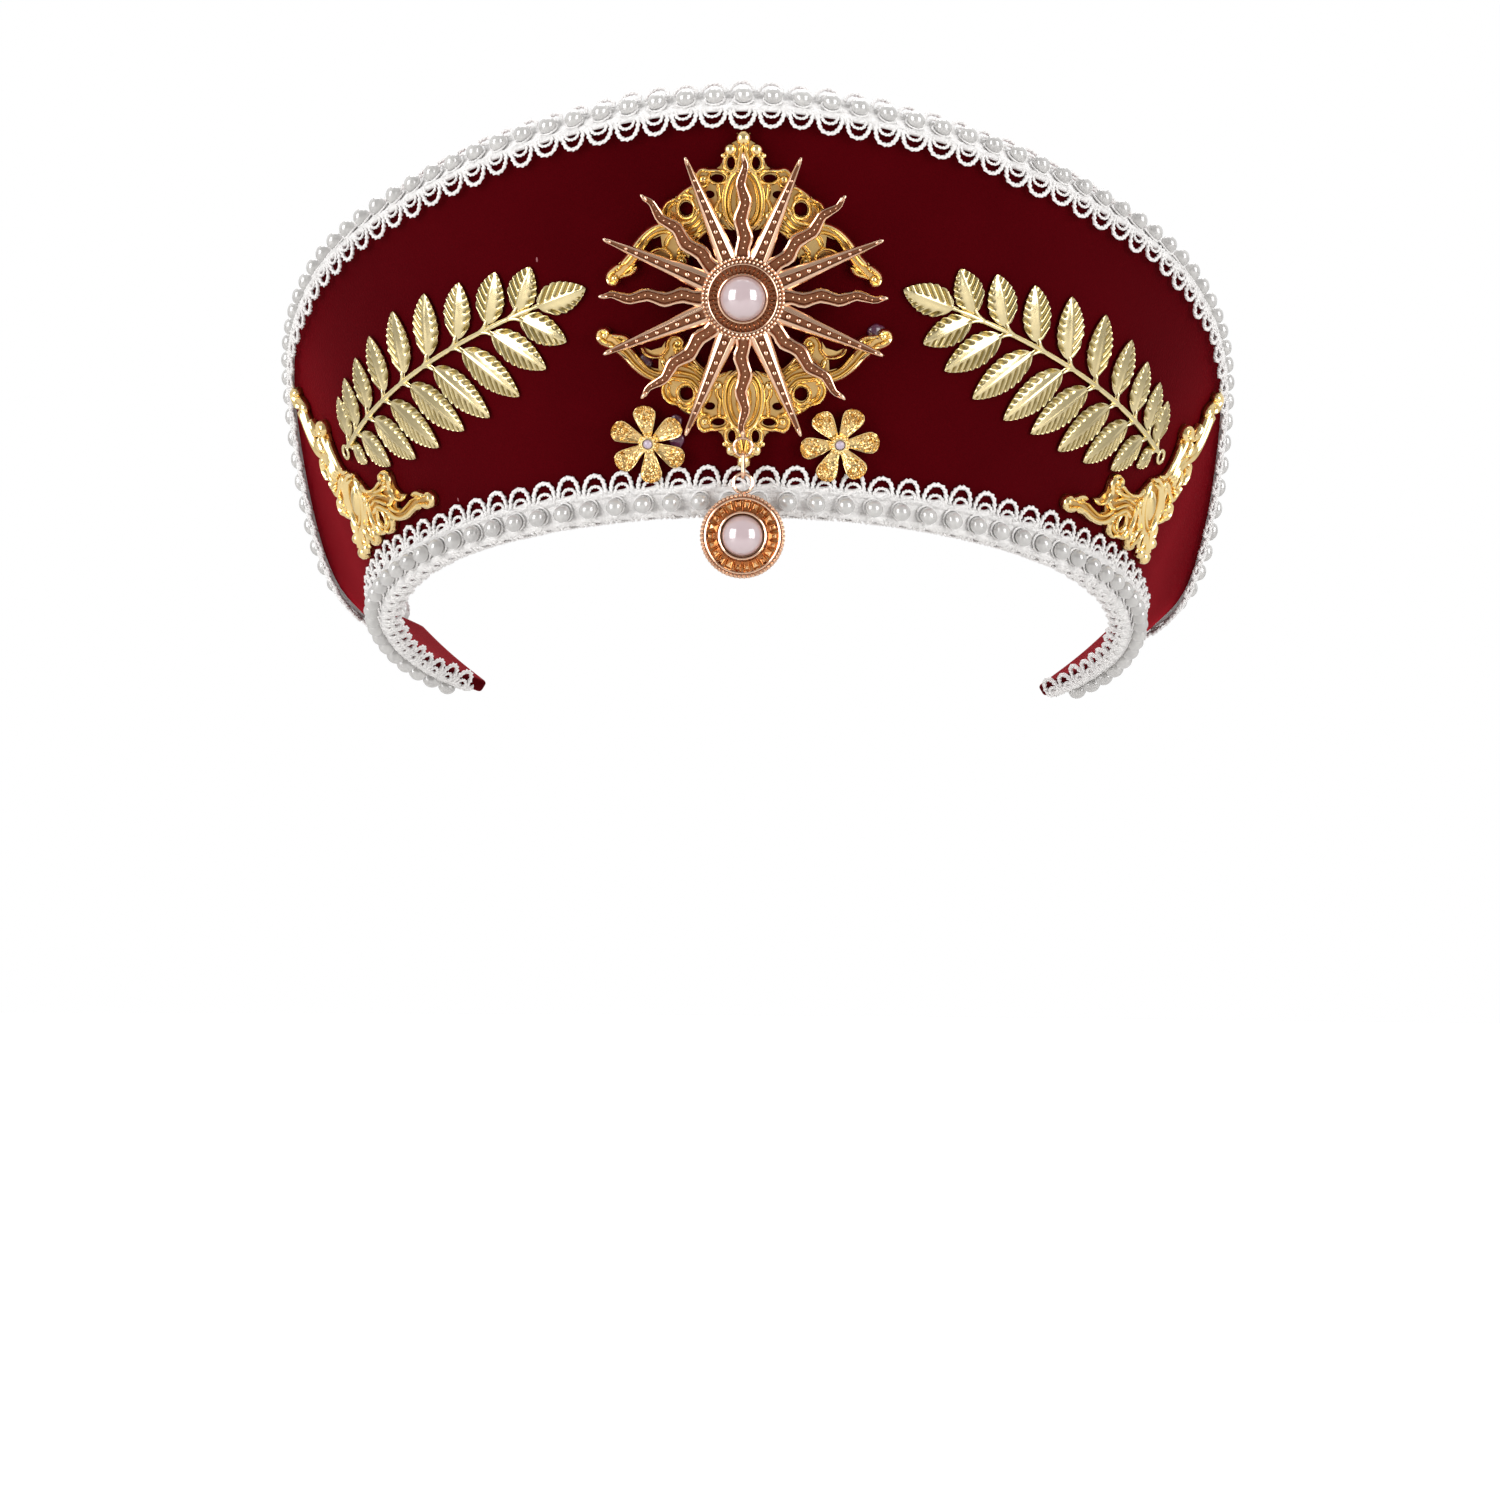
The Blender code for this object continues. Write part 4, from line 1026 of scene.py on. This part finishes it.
lilac_stone = lilac_look()
for side, angle, height, first in FLOWER_ROWS:
    bm = casting_mesh()
    for k in range(6):
        petal(bm, math.radians(first + 60 * k))
    turned_form(bm, CUP_PROFILE, 24)
    for k in range(12):
        a = math.radians(30 * k)
        ball(bm, 1.72 * math.cos(a), 1.72 * math.sin(a), 0.36, lift=2.2)
        ball(bm, 2.05 * math.cos(a + 0.26), 2.05 * math.sin(a + 0.26), 0.3, lift=1.6)
    bend_to_band(bm, angle, height)
    finish_piece(
        "hammered_flower_" + side, bm, yellow_gold, "crown", sharp=55.0,
        replaces=["flower_" + side],
    )
    bm = bmesh.new()
    ball(bm, 0, 0, 1.05, lift=2.0, flatten=0.8, subdivisions=3)
    bend_to_band(bm, angle, height)
    finish_piece("flower_stone_" + side, bm, lilac_stone, "crown")


# Glue: clear violet blobs, pressed out when the castings were set, that show at their openings
# and edges. Rows: angle round the band, height up it, radius.
GLUE_TINTS = (0.035, 0.005, 0.018), (0.13, 0.035, 0.08)
GLUE_ROWS = (
    (-13.2, 34.6, 1.9),
    (-6.4, 31.5, 1.9),
    (-9.3, 21.0, 1.5),
    (-9.3, 16.6, 1.7),
    (2.4, 24.0, 1.0),
    (5.3, 21.0, 1.3),
    (9.1, 36.8, 1.7),
    (17.2, 42.0, 2.1),
)


def glue_look():
    look, tree, shader = new_look("violet glue", Roughness=0.16, Coat_Weight=0.8, Coat_Roughness=0.08)
    cloud = mottle(tree, 500.0)
    tree.links.new(blend(tree, cloud, *GLUE_TINTS), shader.inputs["Base Color"])
    raise_grain(tree, shader, cloud, 0.5, 0.0003)
    return look


def join_part(bm, part):
    """Add a part that was made on its own to a larger mesh."""
    mesh = kept_mesh(part, "part")
    bm.from_mesh(mesh)
    bpy.data.meshes.remove(mesh)


bm = bmesh.new()
for angle, height, radius in GLUE_ROWS:
    blob = bmesh.new()
    ball(blob, 0, 0, radius, lift=0.0, flatten=0.55, subdivisions=3)
    for v in blob.verts:
        v.co *= 1 + 0.28 * noise.noise(v.co * 0.7 + Vector((angle, height, 0)))
    bend_to_band(blob, angle, height, lift=0.1)
    join_part(bm, blob)
finish_piece("glue_blobs", bm, glue_look(), "crown")


# Sunburst: a rose gold casting of eight straight and eight wavy rays about a ribbed hub. The rays
# have polished flanks and a sunk channel with beads, and a pale pink pearl sits in the hub.
SUN_HEIGHT = 49.0
SUN_STANDOFF = 3.6
HUB_RADIUS = 9.3
RAY_THICKNESS = 1.5
STRAIGHT_LENGTH = 33.5
WAVY_LENGTH = 32.0
LOWEST_RAY_LENGTH = 31.6
FIXED_RING_REACH = 33.5
FIXED_RING_RADIUS = 2.05
FIXED_RING_WIRE = 0.36
FIXED_RING_LIFT = 0.45
STRAIGHT_BASE = 2.45
WAVY_BASE = 1.85
RAY_WAVES = 3
RAY_SWAY = 0.4
RAY_THINNING = 0.42
HUB_RIBS = 40
SUN_PEARL_RADIUS = 5.05
# Bright gold, and the deep tint for painted shade in marked hollows and for wear
ROSE_GOLD_SHADE_AND_WEAR_TINTS = (0.90, 0.60, 0.42), (0.30, 0.12, 0.06)
# Pink pearl body, and its girdle's painted reflection of the rose gold
PINK_PEARL_AND_RIM_REFLECTION_TINTS = (0.52, 0.40, 0.42), (0.60, 0.33, 0.25)
# Hub: radius, height
HUB_PROFILE = (
    (0, 0), (HUB_RADIUS, 0), (HUB_RADIUS, 1.4), (8.9, 1.7), (7.9, 1.7), (7.6, 1.3), (6.0, 1.5), (5.5, 1.4),
    (0, 1.3),
)
# Half sections of the rays from the back outward and up: share of half width, share of height
STRAIGHT_HALF = ((1.0, 0.0), (1.0, 0.45), (0.8, 0.8), (0.48, 1.0), (0.43, 0.95), (0.38, 0.4))
WAVY_HALF = ((1.0, 0.0), (1.0, 0.55), (0.86, 0.9), (0.66, 1.0), (0.5, 0.8), (0.42, 0.35))
# Painted shade at each corner of a ray's half section: darkest in the sunk channel
CHANNEL_PAINTED_SHADE = (0.3, 0.0, 0.0, 0.0, 0.7, 1.0)


def sun_place():
    here = np.array([0.0]), np.array([SUN_HEIGHT])
    along, up, out = (Vector(axis[0]) for axis in band_axes(*here))
    place = Vector(band_point(*here)[0]) + out * SUN_STANDOFF
    return Matrix.Translation(place) @ Matrix((along, up, out)).transposed().to_4x4()


def ray(bm, turn, wavy, length):
    """One ray from under the hub's rim to its rounded tip, with the beads of its channel."""
    outward = Vector((math.cos(turn), math.sin(turn), 0.0))
    sideways = Vector((-outward.y, outward.x, 0.0))
    up = Vector((0, 0, 1))
    start = HUB_RADIUS - 1.2
    steps = 30 if wavy else 8
    base = WAVY_BASE if wavy else STRAIGHT_BASE

    def middle(reach):
        if not wavy:
            return outward * reach
        share = (reach - start) / (length - start)
        wave = math.asin(0.97 * math.sin(2 * math.pi * RAY_WAVES * share + 0.6))
        return outward * reach + sideways * (RAY_SWAY * wave * min(1.0, share * 5))

    stations = []
    for k in range(steps + 1):
        share = k / steps
        reach = start + (length - 0.8 - start) * share
        ahead = (middle(reach + 0.1) - middle(reach - 0.1)).normalized()
        across = ahead.cross(up)
        taper = 1 - share**1.9 if wavy else 1 - share
        swell = 0.12 * math.sin(2 * math.pi * 5.4 * share) * taper if wavy else 0.0
        width, height = base * taper + 0.55 * share + swell, RAY_THICKNESS * (1 - RAY_THINNING * share)
        stations.append(station(middle(reach), across, up, ahead, width, height))
    right = WAVY_HALF if wavy else STRAIGHT_HALF
    both = [*right, *((-x, y) for x, y in reversed(right))]
    # Painted shade darkens the sunk channel between the flanks.
    drawn(bm, both, stations, CHANNEL_PAINTED_SHADE + CHANNEL_PAINTED_SHADE[::-1])
    tip = middle(length - 0.9)
    turned_tip = Matrix.Translation((tip.x, tip.y, 0.42)) @ Matrix.Rotation(turn, 4, "Z")
    pointed = turned_tip @ Matrix.Diagonal((2.3, 1, 1, 1))
    bmesh.ops.create_icosphere(bm, subdivisions=2, radius=0.5, matrix=pointed)
    count, pitch, first = (14, 1.35, 11.0) if wavy else (8, 2.45, 10.9)
    for k in range(count):
        reach = first + pitch * k
        share = reach / length
        size = (0.28 if wavy else 0.88) * (1 - 0.7 * share) + 0.08
        if reach < length - 2.2:
            point = middle(reach)
            lift = RAY_THICKNESS * 0.5 * (1 - RAY_THINNING * share) + 0.12
            ball(bm, point.x, point.y, size, lift=lift, subdivisions=1 if wavy else 2)


def wire_ring(bm, radius, wire, height, steps, sides=8):
    """A ring of round wire about the local Z axis."""
    upright = Matrix.Translation((radius, 0, height)) @ Matrix.Rotation(math.pi / 2, 4, "X")
    section = bmesh.ops.create_circle(bm, segments=sides, radius=wire, matrix=upright)["verts"]
    edges = list({edge for v in section for edge in v.link_edges})
    return full_turn(bm, section, edges, steps)


def bead_ring(bm, radius, bead, height, count, flatten=1.0):
    for k in range(count):
        a = 2 * math.pi * k / count
        ball(bm, radius * math.cos(a), radius * math.sin(a), bead, lift=height, flatten=flatten, subdivisions=1)


def sunburst():
    bm = casting_mesh()
    for k in range(16):
        wavy = k % 2 == 0
        length = LOWEST_RAY_LENGTH if k == 12 else WAVY_LENGTH if wavy else STRAIGHT_LENGTH
        ray(bm, math.pi * k / 8, wavy, length)
    # Painted shade darkens the hub's base, so its ribs and beads stand out bright.
    turned_form(bm, HUB_PROFILE, 64, depth=0.9)
    wire_ring(bm, 7.7, 0.2, 2.1, 64)
    wire_ring(bm, 5.35, 0.3, 2.3, 64)
    bead_ring(bm, 9.0, 0.43, 1.85, 56)
    bead_ring(bm, 8.22, 0.38, 2.15, 54)
    for k in range(HUB_RIBS):
        a = 2 * math.pi * (k + 0.5) / HUB_RIBS
        points = [(reach * math.cos(a), reach * math.sin(a)) for reach in (5.8, 6.6, 7.5)]
        rib(bm, points, (0.24, 0.36), (0.9, 0.95), lift=1.5, steps=1)
    ring = bmesh.new()
    wire_ring(ring, FIXED_RING_RADIUS, FIXED_RING_WIRE, 0.0, 32)
    bmesh.ops.translate(ring, verts=ring.verts, vec=(0, -FIXED_RING_REACH, FIXED_RING_LIFT))
    join_part(bm, ring)
    foot = -SUN_STANDOFF + 0.35
    turned_form(bm, ((0, foot), (5.0, foot), (5.0, 0.2), (0, 0.2)), 24)
    bm.transform(Matrix.Scale(MM, 4) @ sun_place())
    finish_piece("cast_sunburst", bm, rose_gold, "crown", sharp=38.0, replaces=["sunburst"])


def set_pearl(name, place, seat, radius, height, body, replaced):
    """A pale pink pearl in its bezel: round in front, flat on its seat."""
    bm = bmesh.new()
    bmesh.ops.create_uvsphere(bm, u_segments=48, v_segments=24, radius=1.0)
    whole = bm.verts[:] + bm.edges[:] + bm.faces[:]
    bmesh.ops.bisect_plane(bm, geom=whole, plane_co=(0, 0, -0.1), plane_no=(0, 0, -1), clear_outer=True)
    bmesh.ops.holes_fill(bm, edges=bm.edges[:])
    bmesh.ops.scale(bm, verts=bm.verts, vec=(radius, radius, height))
    bmesh.ops.translate(bm, verts=bm.verts, vec=(0, 0, seat))
    bm.transform(Matrix.Scale(MM, 4) @ place)
    top = (Matrix.Scale(MM, 4) @ place) @ Vector((0, 0, seat + height))
    # Its girdle carries a painted reflection of the gold about it, measured from the pearl's front point.
    look = pearl_look(name + "_lacquer", PINK_PEARL_AND_RIM_REFLECTION_TINTS, tuple(top), radius * 1.35 * MM)
    finish_piece(name, bm, look, body, sharp=60.0, replaces=[replaced])


rose_gold = gold_look("rose gold", ROSE_GOLD_SHADE_AND_WEAR_TINTS, 0.11, pit_depth=0.00002)
sun = sun_place()
sunburst()
set_pearl("hub_pearl", sun, 1.7, SUN_PEARL_RADIUS, 4.2, "crown", "sunburst_pearl")


# Drop: a jump ring in the ring of the lowest ray, and a round rose gold pendant with a beaded
# rim, a ring of faceted cuts and a pale pink pearl, hanging by its own loop.
LINK_PITCH = 3.9
LINK_HALF_WIDTH = 1.45
LINK_WIRE = 0.42
LINK_REACH = 2.92
LOOP_RADIUS = 2.15
DISC_REACH = 11.8
DROP_PEARL_RADIUS = 4.5
LOOP_WIRE = 0.4
CUTS = 22
CUT_RADIUS = 6.95
CUT_HEIGHT = 0.95
AMBER_GOLD_TINTS = (0.98, 0.62, 0.32), (0.5, 0.22, 0.08)
# Disc: radius, height
DISC_PROFILE = (
    (0, -0.9), (8.9, -0.9), (9.4, -0.4), (9.4, 0.3), (8.9, 0.6), (8.5, 0.6), (8.1, 0.2), (5.8, 0.4), (5.5, 1.2),
    (5.0, 1.2), (4.7, 0.7), (0, 0.7),
)


def jump_ring(upper, lower):
    bm = bmesh.new()
    wire = wire_ring(bm, LINK_HALF_WIDTH, LINK_WIRE, 0.0, 32)
    for v in wire:
        v.co.y += math.copysign(LINK_REACH - LINK_HALF_WIDTH, v.co.y) if abs(v.co.y) > 1e-4 else 0.0
    edge_on = Matrix(((0, 0, 1), (1, 0, 0), (0, 1, 0))).to_4x4()
    bm.transform(Matrix.Scale(MM, 4) @ Matrix.Translation((upper + lower) / 2) @ edge_on)
    finish_piece("jump_ring", bm, rose_gold, "link", replaces=["drop_link"])


def pendant(disc):
    bm = casting_mesh()
    # Painted shade darkens the disc's turned base, so its beads stand out bright.
    turned_form(bm, DISC_PROFILE, 72, depth=0.6)
    wire_ring(bm, 8.35, 0.26, 0.95, 72)
    wire_ring(bm, 5.2, 0.28, 1.75, 64)
    bead_ring(bm, 9.15, 0.45, 0.75, 58)
    cuts = bmesh.new()
    for k in range(CUTS):
        a = 2 * math.pi * k / CUTS
        lean = 0.35 * math.sin(k * 2.4)
        place = Matrix.Rotation(a, 4, "Z") @ Matrix.Translation((CUT_RADIUS, 0, 0.85))
        square = Matrix.Diagonal((1.2, 0.95, 1, 1)) @ Matrix.Rotation(math.pi / 4, 4, "Z")
        pyramid = bmesh.ops.create_cone(
            cuts, cap_ends=True, segments=4, radius1=1.42, radius2=0.03, depth=CUT_HEIGHT, matrix=place @ square
        )["verts"]
        peak = [v for v in pyramid if v.co.z > 0.9]
        bmesh.ops.translate(cuts, verts=peak, vec=(lean * math.cos(a), lean * math.sin(a), 0))
        fin = a + math.pi / CUTS
        points = [(reach * math.cos(fin), reach * math.sin(fin)) for reach in (5.75, 8.15)]
        rib(bm, points, (0.11, 0.12), (0.75, 0.75), lift=0.7, steps=1)
    cuts.transform(Matrix.Scale(MM, 4) @ disc)
    finish_piece("pendant_cuts", cuts, amber_gold, "drop", sharp=10.0)
    loop = bmesh.new()
    wire_ring(loop, LOOP_RADIUS, LOOP_WIRE, 0.0, 40)
    bmesh.ops.translate(loop, verts=loop.verts, vec=(0, DISC_REACH, 0))
    join_part(bm, loop)
    bm.transform(Matrix.Scale(MM, 4) @ disc)
    finish_piece(
        "pearl_pendant", bm, rose_gold, "drop", sharp=35.0, replaces=["drop_pendant"]
    )


amber_gold = gold_look("amber gold", AMBER_GOLD_TINTS, 0.1, pit_depth=0.00002)
upper_wire = sun @ Vector((0.0, -FIXED_RING_REACH - FIXED_RING_RADIUS, FIXED_RING_LIFT))
lower_wire = upper_wire - Vector((0, 0, LINK_PITCH))
jump_ring(upper_wire, lower_wire)
disc_middle = lower_wire - Vector((0, 0, LOOP_RADIUS + DISC_REACH))
disc_place = Matrix.Translation(disc_middle) @ Matrix.Rotation(math.pi / 2, 4, "X")
pendant(disc_place)
set_pearl("pendant_pearl", disc_place, 1.2, DROP_PEARL_RADIUS, 3.6, "drop", "drop_pearl")
